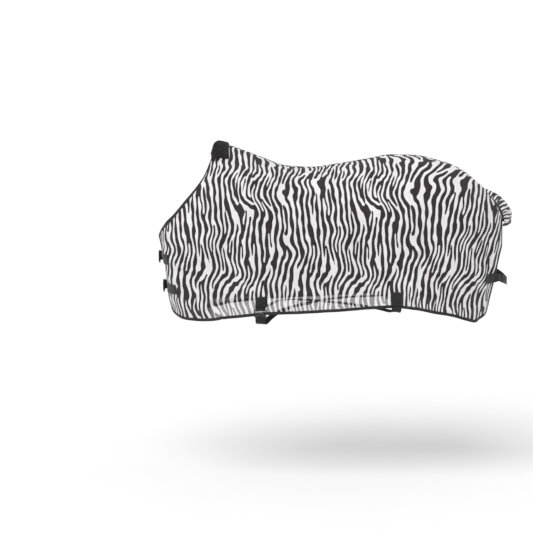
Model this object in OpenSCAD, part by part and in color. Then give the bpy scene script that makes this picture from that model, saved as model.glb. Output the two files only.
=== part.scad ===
// Zebra-print fly sheet for a horse, shown as it hangs when it is worn.
//
// +X runs from the chest to the tail, +Y to the horse's right (off) side and +Z up.
// The origin is the point where the sheet rests on the withers.
// Near means the horse's left side (-Y), off means its right side (+Y).
//
// Each side panel is one curved surface S(u, v). u counts stations from the front edge
// to the rear edge, and v runs from the neckline or spine (0) down to the hem (1). The
// off panel starts two stations earlier, because it passes under the near one.
// Bindings and patches are slabs cut from that same surface at a small height above it.

/* [Sheet] */
// Length of the spine seam, from the withers to the tail opening
back_length = 1280; // [1100:10:1400]
// Half of the width across the barrel
half_width = 292; // [260:2:320]
// Depth of the lowest hem point below the withers
hem_depth = 845; // [780:5:900]

/* [Cloth and trim] */
// Thickness of the mesh cloth
cloth_t = 2; // [1.5:0.1:2.5]
// Width of the edge binding
binding_w = 14; // [10:1:18]
// Thickness of the edge binding
binding_t = 4; // [3.4:0.2:4.4]
// Width of the spine seam
seam_w = 15; // [12:1:16]
// Thickness of the fleece on each face
fleece_t = 11; // [8:1:12]

/* [Webbing] */
// Width of the webbing
webbing_w = 48; // [44:1:50]
// Thickness of the webbing
webbing_t = 2.2; // [1.8:0.1:2.4]
// Length of the front surcingle patch, down the side
front_patch_l = 57; // [50:1:60]
// Length of the rear surcingle patch, down the side
rear_patch_l = 66; // [60:1:70]

/* [Clips] */
// Width of a clip, along its bars
clip_w = 66; // [62:1:70]
// Radius of the clip's round bars
bar_r = 2.2; // [2:0.1:2.4]
// Distance between the two bars of the catch ring
ring_pitch = 19; // [18:0.5:22]
// Width of the hook that drops over the lower bar
hook_w = 34; // [28:1:38]

/* [Hidden] */
$fn = 32;

near = -1;
off = 1;

// The lines below are drawn for this size and stretched to the driving dimensions.
sx = back_length / 1280;
sy = half_width / 292;
sz = hem_depth / 845;

gap = 1;              // clearance between neighbouring solids
seam_gap = seam_w / 2 + gap;

// Lines of one side, station by station from the front edge to the rear edge:
// top edge x y z, widest line x y z, hem x y z, angle at which the section starts
// (0 is level, as on the back), rise of the body beside the spine: the rump's muscle,
// or below 0 the hollows beside the withers.
LINES = [
  [-281, -58, -436,  -257, -56, -570,  -229, -52, -762,  66,  0],
  [-295,  -4, -446,  -271,  -4, -570,  -244,  -4, -768,  66,  0],
  [-292,  48, -440,  -264,  46, -570,  -240,  42, -768,  66,  0],
  [-273,  95, -399,  -262, 110, -570,  -226,  86, -808,  60,  0],
  [-230, 135, -355,  -236, 168, -565,  -197, 130, -830,  54,  0],
  [-179, 150, -294,  -182, 212, -555,  -150, 176, -842,  46,  0],
  [-108, 140, -208,  -112, 238, -540,   -88, 212, -846,  36,  0],
  [ -60, 108, -135,   -52, 251, -520,   -28, 236, -842,  24,  0],
  [ -24,  52,  -46,   -10, 258, -505,    14, 248, -834,  10,   0],
  [   0,   0,   14,    30, 263, -490,    52, 255, -826,   0, -38],
  [  60,   0,    2,    88, 271, -478,   105, 262, -820,   0, -36],
  [ 135,   0,  -24,   160, 279, -465,   170, 269, -812,   0, -26],
  [ 225,   0,  -58,   245, 285, -455,   250, 275, -803,   0, -12],
  [ 340,   0,  -97,   350, 289, -447,   350, 281, -800,   0,  0],
  [ 460,   0, -104,   460, 292, -440,   460, 285, -793,   0,  0],
  [ 600,   0,  -86,   600, 292, -428,   600, 287, -784,   0,  0],
  [ 740,   0,  -62,   740, 291, -410,   740, 287, -774,   0,  0],
  [ 860,   0,  -42,   860, 289, -388,   860, 285, -766,   0,  0],
  [ 970,   0,  -44,   970, 286, -366,   970, 281, -776,   0,  3],
  [1070,   0,  -64,  1070, 280, -352,  1070, 275, -797,   0,  9],
  [1150,   0,  -94,  1155, 270, -346,  1150, 264, -812,   0, 19],
  [1220,   0, -138,  1232, 252, -352,  1215, 248, -832,   0, 28],
  [1280,   0, -189,  1298, 224, -372,  1262, 222, -845,   4, 34],
  [1330,  38, -230,  1350, 192, -400,  1296, 184, -824,  14, 30],
  [1374,  84, -270,  1384, 164, -430,  1322, 146, -800,  32, 14],
  [1400, 134, -316,  1398, 142, -480,  1338, 114, -780,  56,  0]
];
LAST = len(LINES) - 1;
NEAR_START = 2;       // station of the near panel's front edge
U_WITHERS = 9;        // station where the neckline meets the spine
U_TAIL = 22;          // station where the tail opening starts
V_WIDE = 0.5;         // v at the widest line
CREST_Y = 100;        // distance of the crest of that rise from the spine

// The wedge of cloth over the dock, row by row from its point to its free end:
// side edge x y z, middle ridge x z.
WEDGE = [
  [1280,   0, -189,  1280, -189],
  [1330,  38, -230,  1334, -211],
  [1374,  84, -270,  1389, -238],
  [1400, 132, -317,  1438, -286],
  [1411, 130, -352,  1460, -334],
  [1404, 122, -384,  1454, -380]
];
GUSSET_END = 1.95;    // row where the sewn part of the wedge ends
FLAP_START = 2.06;    // row where the free part starts
FLAP_BOUND = 4.62;    // row where the flap's binding starts
WEDGE_INSET = 8;      // room between the wedge and the edges beside it

// Fleece at the withers: stations it spans, and how far it reaches down each side in v.
FLEECE_U = [8.1, 9.9];
FLEECE_V = 0.11;

// Belly clips hang from this point of the off side, mirrored on the near side.
BELLY_CLIP = [217, 287, -778];
// Chest clips: hinge line on the near side of the chest, heights of the two straps.
CHEST_CLIP_X = [-289, -268];
CHEST_CLIP_Y = -38;
CHEST_Z = [-548, -694];

// Route of a surcingle from the clip of side s (y times s) to the other side's rear patch:
// x, y, z, direction of the webbing's width in plan (0 is along X).
SURCINGLE = [
  [217,  291, -832,   0], [218,  287, -840,   6], [224,  274, -848,  20],
  [238,  256, -843,  36], [262,  229, -825,  48], [302,  194, -803,  52],
  [370,  140, -784,  52],
  [510,   30, -768,  52], [547,    0, -766,  50], [625,  -66, -767,  49],
  [700, -132, -772,  49], [770, -194, -778,  48], [822, -240, -782,  40],
  [856, -270, -786,  22], [872, -286, -784,   6], [877, -292, -776,   0],
  [877, -293, -762,   0]
];
CROSS_DROP = 13;      // how far the off surcingle passes below the near one
SLIDER_RUN = 6;       // the sliders sit halfway along the straight run after this point
SLIDER_L = 14;

// Half of the tail strap's route, from the edge of the sheet to the middle.
TAIL_STRAP = [
  [1396, 114, -640], [1412, 98, -648], [1428, 70, -658], [1437, 36, -666], [1440, 0, -669]
];
// A tab carries on from the tail patch, round the rear edge, to where the strap starts.
TAIL_TAB = [[1386, 135, -636], [1393, 126, -637], [1396, 116, -639]];
TAIL_STRAP_W = 38;

// ---- interpolation along the stations -------------------------------------------

function slope(d0, d1) = d0 * d1 <= 0 ? 0 : 2 * d0 * d1 / (d0 + d1);

function tangent(rows, i, k) =
  let (last = len(rows) - 1)
  i == 0 ? rows[1][k] - rows[0][k] :
  i == last ? rows[last][k] - rows[last - 1][k] :
  slope(rows[i][k] - rows[i - 1][k], rows[i + 1][k] - rows[i][k]);

function ease(a, b, ma, mb, t) =
  (2*t*t*t - 3*t*t + 1) * a + (t*t*t - 2*t*t + t) * ma
  + (3*t*t - 2*t*t*t) * b + (t*t*t - t*t) * mb;

// The row of a table at a place u between its rows.
function along(rows, u) =
  let (i = max(0, min(len(rows) - 2, floor(u))), t = u - i)
  [for (k = [0:len(rows[0]) - 1])
    ease(rows[i][k], rows[i+1][k], tangent(rows, i, k), tangent(rows, i + 1, k), t)];

function station(u) = along(LINES, u);

function smooth(a, b, x) = let (t = max(0, min(1, (x - a) / (b - a)))) t * t * (3 - 2 * t);
function crest(y) = pow(sin(90 * min(2, y / CREST_Y)), 2);

// A point of the off side at height v of a station's lines.
function on_lines(c, v) =
  let (
    phi = c[9] + (90 - c[9]) * min(1, v / V_WIDE),
    fall = (cos(c[9]) - cos(phi)) / cos(c[9]),
    out = (sin(phi) - sin(c[9])) / (1 - sin(c[9])),
    low = max(0, (v - V_WIDE) / (1 - V_WIDE)),
    half = min(1, v / V_WIDE),
    x = low > 0 ? c[3] + (c[6] - c[3]) * low : c[0] + (c[3] - c[0]) * half,
    y = low > 0 ? c[4] + (c[7] - c[4]) * low * low : c[1] + (c[4] - c[1]) * out,
    z = low > 0 ? c[5] + (c[8] - c[5]) * low : c[2] + (c[5] - c[2]) * fall,
    side_y = c[0] < -100 ? sy * y : max(seam_gap, sy * y)
  )
  [sx * x, side_y, sz * (z + c[10] * (crest(y) - crest(c[1])))];

function S(u, v) = on_lines(station(u), v);

function unit(a) = a / norm(a);

function N(u, v) =
  let (
    du = 0.02, dv = 0.004,
    a = S(max(0, u - du), v), b = S(min(LAST, u + du), v),
    c = station(u),
    p = on_lines(c, max(0.0001, v - dv)), q = on_lines(c, min(1, v + dv))
  )
  unit(cross(b - a, q - p));

function raised(u, v, h) = S(u, v) + h * N(u, v);
function sided(p, side) = [p.x, side * p.y, p.z];

// Millimetres per unit of u and of v at a point.
function per_u(u, v) = norm(S(min(LAST, u + 0.1), v) - S(max(0, u - 0.1), v))
  / (min(LAST, u + 0.1) - max(0, u - 0.1));
function per_v(u, v) =
  let (c = station(u), a = max(0, v - 0.01), b = min(1, v + 0.01))
  norm(on_lines(c, b) - on_lines(c, a)) / (b - a);

// u and v where the side view shows x and z.
function find_uv(x, z, u, v, n = 8) =
  n == 0 ? [u, v] :
  let (
    d = 0.01, e = 0.002, p = S(u, v),
    a = (S(u + d, v) - p) / d, b = (S(u, v + e) - p) / e,
    r = [x - p.x, z - p.z], det = a.x * b.z - b.x * a.z
  )
  find_uv(x, z, u + (r[0] * b.z - b.x * r[1]) / det, v + (a.x * r[1] - r[0] * a.z) / det, n - 1);

function steps(a, b, n) = [for (i = [0:n]) a + (b - a) * i / n];

// ---- closed shells from two grids of points --------------------------------------

// outer[i][j] and inner[i][j] face each other. flip turns the faces for a mirrored side.
module shell(outer, inner, flip = false) {
  m = len(outer);
  n = len(outer[0]);
  points = [for (g = [outer, inner]) for (row = g) for (p = row) p];
  function at(g, i, j) = g * m * n + i * n + j;
  function quad(a, b, c, d) = flip ? [[a, c, b], [a, d, c]] : [[a, b, c], [a, c, d]];
  faces = [
    for (i = [0:m-2]) for (j = [0:n-2]) for (f = concat(
      quad(at(0,i,j), at(0,i,j+1), at(0,i+1,j+1), at(0,i+1,j)),
      quad(at(1,i,j), at(1,i+1,j), at(1,i+1,j+1), at(1,i,j+1))
    )) f,
    for (i = [0:m-2]) for (f = concat(
      quad(at(0,i,0), at(0,i+1,0), at(1,i+1,0), at(1,i,0)),
      quad(at(0,i,n-1), at(1,i,n-1), at(1,i+1,n-1), at(0,i+1,n-1))
    )) f,
    for (j = [0:n-2]) for (f = concat(
      quad(at(0,0,j), at(1,0,j), at(1,0,j+1), at(0,0,j+1)),
      quad(at(0,m-1,j), at(0,m-1,j+1), at(1,m-1,j+1), at(1,m-1,j))
    )) f
  ];
  polyhedron(points, faces);
}

// A slab of the side surface: uv maps s and t to u and v, h0 and h1 are its two heights.
module slab(side, ss, ts, uv, h0, h1) {
  function layer(h) = [for (s = ss) [for (t = ts)
    let (q = uv(s, t)) sided(raised(q[0], q[1], h), side)]];
  shell(layer(h1), layer(h0), side == near);
}

// ---- where the bindings end and the cloth starts ---------------------------------

function top_trim(u) =
  binding_w / per_v(u, 0.01)
  * max(1 - smooth(U_WITHERS - 1, U_WITHERS, u), smooth(U_TAIL, U_TAIL + 0.8, u));
function hem_trim(u) = binding_w / per_v(u, 0.99);
function front_trim(v, first) = binding_w / per_u(first, v);
function rear_trim(v) = binding_w / per_u(LAST, v);
function first_station(side) = side == near ? NEAR_START : 0;

// s counts stations along the cloth and t runs down it, inside the bindings.
function cloth_uv(first, s, t) =
  let (
    v0 = top_trim(s), v1 = 1 - hem_trim(s),
    v = v0 + (v1 - v0) * t,
    u0 = first + front_trim(v, first), u1 = LAST - rear_trim(v)
  )
  [u0 + (u1 - u0) * (s - first) / (LAST - first), v];

// ---- side panels and their bindings ----------------------------------------------

ROWS = [0, 0.04, 0.08, 0.13, 0.19, 0.26, 0.34, 0.42, 0.5, 0.6, 0.7, 0.8, 0.9, 1];

// Two columns to a station.
function columns(side) = steps(first_station(side), LAST, 2 * (LAST - first_station(side)));

module panel(side) {
  first = first_station(side);
  slab(side, columns(side), ROWS, function (s, t) cloth_uv(first, s, t),
    -cloth_t / 2, cloth_t / 2);
}

module hem_binding(side) {
  slab(side, columns(side), [0, 1],
    function (s, t) [s, 1 - hem_trim(s) * (1 - t) * (1 - gap / binding_w)],
    -binding_t / 2, binding_t / 2);
}

module edge_along_top(side, u0, u1, n) {
  slab(side, steps(u0, u1, n), [0, 1],
    function (s, t) [s, max(0, top_trim(s) - gap / per_v(s, 0.01)) * t],
    -binding_t / 2, binding_t / 2);
}

module upright_binding(side, u_edge, dir) {
  v_of = function (t) let (
    a = top_trim(u_edge) + gap / per_v(u_edge, 0.01),
    b = 1 - hem_trim(u_edge) - gap / per_v(u_edge, 0.99)) a + (b - a) * t;
  slab(side, [0, 1], steps(0, 1, 12),
    function (s, t) let (v = v_of(t), w = (binding_w - gap) / per_u(u_edge, v))
      [u_edge + (dir > 0 ? s * w : -w + s * w), v],
    -binding_t / 2, binding_t / 2);
}

module near_panel() { color("whitesmoke") panel(near); }
module off_panel() { color("gainsboro") panel(off); }
module near_hem_binding() { color("black") hem_binding(near); }
module off_hem_binding() { color("black") hem_binding(off); }
module neck_binding(side) { edge_along_top(side, first_station(side), U_WITHERS - 0.4, 16); }
module near_neck_binding() { color("black") neck_binding(near); }
module off_neck_binding() { color("black") neck_binding(off); }
module near_tail_edge() { color("black") edge_along_top(near, U_TAIL + 0.2, LAST, 8); }
module off_tail_edge() { color("black") edge_along_top(off, U_TAIL + 0.2, LAST, 8); }
module near_front_binding() { color("black") upright_binding(near, NEAR_START, 1); }
module off_front_binding() { color("black") upright_binding(off, 0, 1); }
module near_rear_binding() { color("black") upright_binding(near, LAST, -1); }
module off_rear_binding() { color("black") upright_binding(off, LAST, -1); }

// ---- spine seam, tail wedge and fleece -------------------------------------------

// A point of the spine, y across it and h above it.
function spine(u, y, h) =
  let (
    c = station(u), a = station(u - 0.02), b = station(u + 0.02),
    n = unit([sz * (a[2] - b[2]), 0, sx * (b[0] - a[0])])
  )
  [sx * c[0], y, sz * (c[2] + c[10] * crest(y))] + h * n;

module spine_seam() {
  function layer(h) = [for (u = steps(U_WITHERS, U_TAIL, 26)) [for (y = steps(-seam_w / 2, seam_w / 2, 2))
    spine(u, y, h)]];
  color("dimgray") shell(layer(cloth_t / 2 + 1), layer(-cloth_t / 2 - 0.4));
}

function wedge(s, t) =
  let (c = along(WEDGE, s), w = 1 - t * t)
  [sx * (c[0] + (c[3] - c[0]) * w), sy * (c[1] - WEDGE_INSET) * t, sz * (c[2] + (c[4] - c[2]) * w)];

function wedge_raised(s, t, h) =
  let (
    a = wedge(max(0, s - 0.03), t), b = wedge(min(5, s + 0.03), t),
    p = wedge(s, t - 0.02), q = wedge(s, t + 0.02)
  )
  wedge(s, t) + h * unit(cross(b - a, q - p));

module wedge_slab(s0, s1, n, h0, h1) {
  function layer(h) = [for (s = steps(s0, s1, n)) [for (t = steps(-1, 1, 8)) wedge_raised(s, t, h)]];
  shell(layer(h1), layer(h0));
}

module tail_gusset() { color("whitesmoke") wedge_slab(0.45, GUSSET_END, 4, -cloth_t / 2, cloth_t / 2); }
module tail_flap() { color("whitesmoke") wedge_slab(FLAP_START, FLAP_BOUND, 8, -cloth_t / 2, cloth_t / 2); }
module tail_flap_binding() {
  color("black") wedge_slab(FLAP_BOUND + 0.01, 5, 1, -binding_t / 2, binding_t / 2);
}

// Fleece on both sides of the withers, h0 to h1 from the cloth, joined over the spine.
// Outside, it also follows the neckline down in front of the spine.
module fleece(h0, h1, outside) {
  vs = [0.01, 0.03, 0.055, 0.08, FLEECE_V];
  across = concat([for (i = [4:-1:0]) [near, vs[i]]], [[0, 0]], [for (v = vs) [off, v]]);
  function sheet_point(u, a, h) = a[0] == 0 ? spine(u, 0, h) : sided(raised(u, a[1], h), a[0]);
  function layer(h) = [for (u = steps(U_WITHERS + 0.05, FLEECE_U[1], 4)) [for (a = across)
    sheet_point(u, a, h)]];
  shell(layer(h1), layer(h0));
  if (outside) for (side = [near, off])
    slab(side, steps(FLEECE_U[0], U_WITHERS + 0.1, 5), vs, function (s, t) [s, t], h0, h1);
}

module wither_fleece() {
  color("black") fleece(binding_t / 2 + gap, binding_t / 2 + gap + fleece_t, true);
}
module wither_lining() {
  color("black") fleece(-binding_t / 2 - 2 * gap - fleece_t, -binding_t / 2 - 2 * gap, false);
}

// ---- webbing patches -------------------------------------------------------------

PATCH_H = binding_t / 2 + gap;

// A patch with its middle where the side view shows x and z.
module patch(side, x, z, u, v, w, l) {
  uv = find_uv(sx * x, sz * z, u, v);
  wu = w / per_u(uv[0], uv[1]);
  lv = l / per_v(uv[0], uv[1]);
  slab(side, steps(-0.5, 0.5, 2), steps(-0.5, 0.5, 2),
    function (s, t) [uv[0] + s * wu, uv[1] + t * lv], PATCH_H, PATCH_H + webbing_t);
}

// v at a height, at a station.
function level_v(u, z, v = 0.6, n = 7) =
  n == 0 ? v
  : let (a = S(u, v).z, b = S(u, v + 0.01).z) level_v(u, z, v + (sz * z - a) * 0.01 / (b - a), n - 1);

// Direction up the cloth at a point.
function up_cloth(u, v) = unit(raised(u, v - 0.01, PATCH_H) - raised(u, v + 0.01, PATCH_H));

// A chest patch runs back from station u0 along the cloth, level with its clip.
module chest_patch(side, z, l, u0) {
  v = level_v(3, z);
  u1 = u0 + l / per_u(3, v);
  slab(side, steps(u0, u1, 6), steps(-0.5, 0.5, 2),
    function (s, t) let (w = level_v(s, z)) [s, w + t * webbing_w / per_v(s, w)],
    PATCH_H, PATCH_H + webbing_t);
}

// Webbing swept along points p, with the direction w and the size of its width at each.
module webbing(p, w, widths, h0, h1) {
  last = len(p) - 1;
  function width(i) = is_list(widths) ? widths[i] : widths;
  function dir(i) = unit(p[min(last, i + 1)] - p[max(0, i - 1)]);
  function wide(i) = unit(w[i] - (w[i] * dir(i)) * dir(i));
  function row(i, h) = [for (k = [-0.5, 0.5])
    p[i] + k * width(i) * wide(i) + h * cross(dir(i), wide(i))];
  shell([for (i = [0:last]) row(i, h1)], [for (i = [0:last]) row(i, h0)]);
}

module near_upper_chest_patch() { color("black") chest_patch(near, CHEST_Z[0], 125, NEAR_START + 0.05); }
module near_lower_chest_patch() { color("black") chest_patch(near, CHEST_Z[1], 146, NEAR_START + 0.05); }
module off_upper_chest_patch() { color("black") chest_patch(off, CHEST_Z[0], 70, 2.4); }
module off_lower_chest_patch() { color("black") chest_patch(off, CHEST_Z[1], 70, 2.4); }

module front_patch(side) { patch(side, 217, -744, 12, 0.85, webbing_w + 2, front_patch_l); }
module rear_patch(side) { patch(side, 877, -722, 17, 0.85, webbing_w + 4, rear_patch_l); }
module near_front_patch() { color("black") front_patch(near); }
module off_front_patch() { color("black") front_patch(off); }
module near_rear_patch() { color("black") rear_patch(near); }
module off_rear_patch() { color("black") rear_patch(off); }

// The tail patch and its tab are one length of webbing.
module tail_patch(side) {
  uv = find_uv(sx * 1314, sz * -633, 22.6, 0.72);
  u1 = LAST - 4 / per_u(LAST, uv[1]);
  us = steps(uv[0], u1, 6);
  p = concat([for (u = us) raised(u, uv[1], PATCH_H + gap + webbing_t / 2)],
    [for (q = TAIL_TAB) [sx * q.x, sy * q.y, sz * q.z]]);
  w = concat([for (u = us) up_cloth(u, uv[1])], [for (q = TAIL_TAB) [0, 0, 1]]);
  widths = concat([for (u = us) u < u1 ? webbing_w : TAIL_STRAP_W], [for (q = TAIL_TAB) TAIL_STRAP_W]);
  webbing([for (q = p) sided(q, side)], [for (q = w) sided(q, side)], widths,
    -webbing_t / 2, webbing_t / 2);
}
module near_tail_patch() { color("black") tail_patch(near); }
module off_tail_patch() { color("black") tail_patch(off); }

// ---- clips -----------------------------------------------------------------------
// A clip is drawn with its hinge bar along X at the origin, hanging down -Z, face to +Y.

BORE = bar_r + 0.3;             // inside of whatever turns on a bar
OPEN_W = clip_w - 12;           // window of the ring
END_BAR = -ring_pitch - 16;     // bar that holds the sewn webbing end
END_Y = BORE + 1.2;
END_L = 15;

// A profile in the YZ plane, drawn as if in XY, given a width along X.
module across_x(w) { rotate([90, 0, 90]) linear_extrude(height = w, center = true) children(); }
module bar_at(y, z, w) { translate([0, y, z]) rotate([0, 90, 0]) cylinder(r = bar_r, h = w, center = true); }
module plate(y0, y1, x0, x1, z0, z1) { translate([x0, y0, z0]) cube([x1 - x0, y1 - y0, z1 - z0]); }

// Half a tube round a bar, open downwards (up = 1) or upwards (up = -1), with two legs.
module fold(t, up, leg_out, leg_in) {
  big = BORE + t + 1;
  difference() {
    circle(r = BORE + t);
    circle(r = BORE);
    translate([-big, up > 0 ? -big : 0]) square([2 * big, big]);
  }
  translate([BORE, up > 0 ? -leg_out : 0]) square([t, leg_out]);
  translate([-BORE - t, up > 0 ? -leg_in : 0]) square([t, leg_in]);
}

module clip_loop() { color("black") across_x(webbing_w) fold(webbing_t, -1, 8, 8); }

module clip_ring() {
  color("darkslategray") {
    bar_at(0, 0, OPEN_W + 1);
    bar_at(0, -ring_pitch, OPEN_W + 1);
    for (k = [-1, 1]) translate([k * (clip_w / 2 - 3), 0, 0])
      rotate([90, 0, 0]) linear_extrude(height = 4.2, center = true) {
        translate([-3, -ring_pitch]) square([6, ring_pitch]);
        circle(r = 3);
        translate([0, -ring_pitch]) circle(r = 3);
      }
  }
}

module clip_hook() {
  color("darkslategray") {
    translate([0, 0, -ring_pitch]) across_x(hook_w) fold(2.4, 1, 6, 4.5);
    plate(BORE, BORE + 2.4, -hook_w / 2, hook_w / 2, -ring_pitch - 9, -ring_pitch - 5);
    plate(BORE, BORE + 2.4, -clip_w / 2 + 4, clip_w / 2 - 4, -ring_pitch - 11, -ring_pitch - 5.5);
    for (k = [-1, 1]) translate([k * (clip_w / 2 - 6.5), 0, 0])
      plate(BORE, BORE + 2.4, -2.5, 2.5, END_BAR - 2.5, -ring_pitch - 10);
    bar_at(END_Y, END_BAR, OPEN_W);
  }
}

module clip_end() {
  color("black") translate([0, END_Y, END_BAR]) across_x(webbing_w) fold(webbing_t, 1, END_L, END_L);
}

module on_belly(side) {
  mirror([0, side == near ? 1 : 0, 0]) translate([sx * BELLY_CLIP.x, sy * BELLY_CLIP.y, sz * BELLY_CLIP.z])
    children();
}

module on_chest(i) {
  translate([sx * CHEST_CLIP_X[i], CHEST_CLIP_Y, sz * CHEST_Z[i]]) rotate([0, -90, 0]) rotate([90, 0, 0])
    children();
}

module upper_chest_loop() { on_chest(0) clip_loop(); }
module upper_chest_ring() { on_chest(0) clip_ring(); }
module upper_chest_hook() { on_chest(0) clip_hook(); }
module upper_chest_end() { on_chest(0) clip_end(); }
module lower_chest_loop() { on_chest(1) clip_loop(); }
module lower_chest_ring() { on_chest(1) clip_ring(); }
module lower_chest_hook() { on_chest(1) clip_hook(); }
module lower_chest_end() { on_chest(1) clip_end(); }
module near_belly_loop() { on_belly(near) clip_loop(); }
module near_belly_ring() { on_belly(near) clip_ring(); }
module near_belly_hook() { on_belly(near) clip_hook(); }
module near_belly_end() { on_belly(near) clip_end(); }
module off_belly_loop() { on_belly(off) clip_loop(); }
module off_belly_ring() { on_belly(off) clip_ring(); }
module off_belly_hook() { on_belly(off) clip_hook(); }
module off_belly_end() { on_belly(off) clip_end(); }

// ---- straps ----------------------------------------------------------------------

// A chest strap runs from the clip's end round the front of the chest to the off patch.
module chest_strap(i) {
  y0 = CHEST_CLIP_Y - END_BAR + END_L + 6;
  us = steps(1.9, 2.28, 2);
  p = concat([[sx * CHEST_CLIP_X[i] - END_Y, y0, sz * CHEST_Z[i]]],
    [for (u = us) raised(u, level_v(u, CHEST_Z[i]), PATCH_H + gap + webbing_t / 2)]);
  w = concat([[0, 0, 1]], [for (u = us) up_cloth(u, level_v(u, CHEST_Z[i]))]);
  webbing(p, w, webbing_w, -webbing_t / 2, webbing_t / 2);
}

module upper_chest_strap() { color("black") chest_strap(0); }
module lower_chest_strap() { color("black") chest_strap(1); }

function surcingle_route(side, drop) = [for (q = SURCINGLE)
  [sx * q[0], side * sy * q[1], sz * q[2] - drop * max(0, 1 - abs(q[1]) / 200)]];

module surcingle(side, drop) {
  w = [for (q = SURCINGLE) [cos(q[3]), side * sin(q[3]), 0]];
  webbing(surcingle_route(side, drop), w, webbing_w, -webbing_t / 2, webbing_t / 2);
}

module near_surcingle() { color("black") surcingle(near, 0); }
module off_surcingle() { color("black") surcingle(off, CROSS_DROP); }

// A sleeve that slides along the straight run of the surcingle.
module slider(side, drop) {
  p = surcingle_route(side, drop);
  a = p[SLIDER_RUN];
  b = p[SLIDER_RUN + 1];
  d = unit(b - a);
  translate((a + b) / 2) rotate([0, -asin(d.z), atan2(d.y, d.x)]) rotate([90, 0, 90])
    linear_extrude(height = SLIDER_L, center = true) difference() {
      square([webbing_w + 8, webbing_t + 6.4], center = true);
      square([webbing_w + 2, webbing_t + 1.6], center = true);
    }
}

module near_slider() { color("darkslategray") slider(near, 0); }
module off_slider() { color("darkslategray") slider(off, CROSS_DROP); }

module tail_strap() {
  p = concat([for (q = TAIL_STRAP) q], [for (i = [3:-1:0]) sided(TAIL_STRAP[i], near)]);
  color("black") webbing(p, [for (q = p) [0, 0, 1]], TAIL_STRAP_W, -webbing_t / 2, webbing_t / 2);
}

near_panel();
off_panel();
spine_seam();
tail_gusset();
tail_flap();
wither_fleece();
wither_lining();
near_neck_binding();
off_neck_binding();
near_front_binding();
off_front_binding();
near_hem_binding();
off_hem_binding();
near_rear_binding();
off_rear_binding();
near_tail_edge();
off_tail_edge();
tail_flap_binding();
near_upper_chest_patch();
near_lower_chest_patch();
off_upper_chest_patch();
off_lower_chest_patch();
near_front_patch();
near_rear_patch();
off_front_patch();
off_rear_patch();
near_tail_patch();
off_tail_patch();
upper_chest_loop();
upper_chest_ring();
upper_chest_hook();
upper_chest_end();
lower_chest_loop();
lower_chest_ring();
lower_chest_hook();
lower_chest_end();
near_belly_loop();
near_belly_ring();
near_belly_hook();
near_belly_end();
off_belly_loop();
off_belly_ring();
off_belly_hook();
off_belly_end();
upper_chest_strap();
lower_chest_strap();
near_surcingle();
off_surcingle();
near_slider();
off_slider();
tail_strap();
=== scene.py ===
"""A zebra-print fly sheet for a horse, in the shape that it has when it is worn.

The cloth, its bindings and its patches all lie on one surface, the same as the CAD
panels': surface(side, u, v, h), where u counts stations from the chest to the tail,
v runs from the spine (0) to the hem (1) and h is a height above the cloth.
"""
import math

import bpy
import numpy as np
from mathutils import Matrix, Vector


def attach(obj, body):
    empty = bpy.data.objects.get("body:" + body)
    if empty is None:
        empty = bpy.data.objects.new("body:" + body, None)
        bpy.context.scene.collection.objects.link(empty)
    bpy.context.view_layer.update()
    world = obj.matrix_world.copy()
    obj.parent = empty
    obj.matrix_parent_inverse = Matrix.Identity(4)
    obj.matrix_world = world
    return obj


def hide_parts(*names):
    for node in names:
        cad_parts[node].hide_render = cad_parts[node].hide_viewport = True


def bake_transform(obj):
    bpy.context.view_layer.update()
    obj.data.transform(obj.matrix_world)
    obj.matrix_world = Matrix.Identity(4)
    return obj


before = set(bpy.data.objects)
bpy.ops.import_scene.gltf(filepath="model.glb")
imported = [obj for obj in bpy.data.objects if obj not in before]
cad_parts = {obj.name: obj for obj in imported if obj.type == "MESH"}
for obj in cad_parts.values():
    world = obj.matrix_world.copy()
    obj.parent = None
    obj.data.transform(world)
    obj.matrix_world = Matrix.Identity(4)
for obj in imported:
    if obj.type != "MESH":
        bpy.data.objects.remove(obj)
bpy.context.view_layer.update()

MM = 0.001
STITCH = 0.0042                # metres from one stitch to the next
NEAR, OFF = -1, 1
SIDE_NAMES = {NEAR: "near", OFF: "off"}

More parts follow.
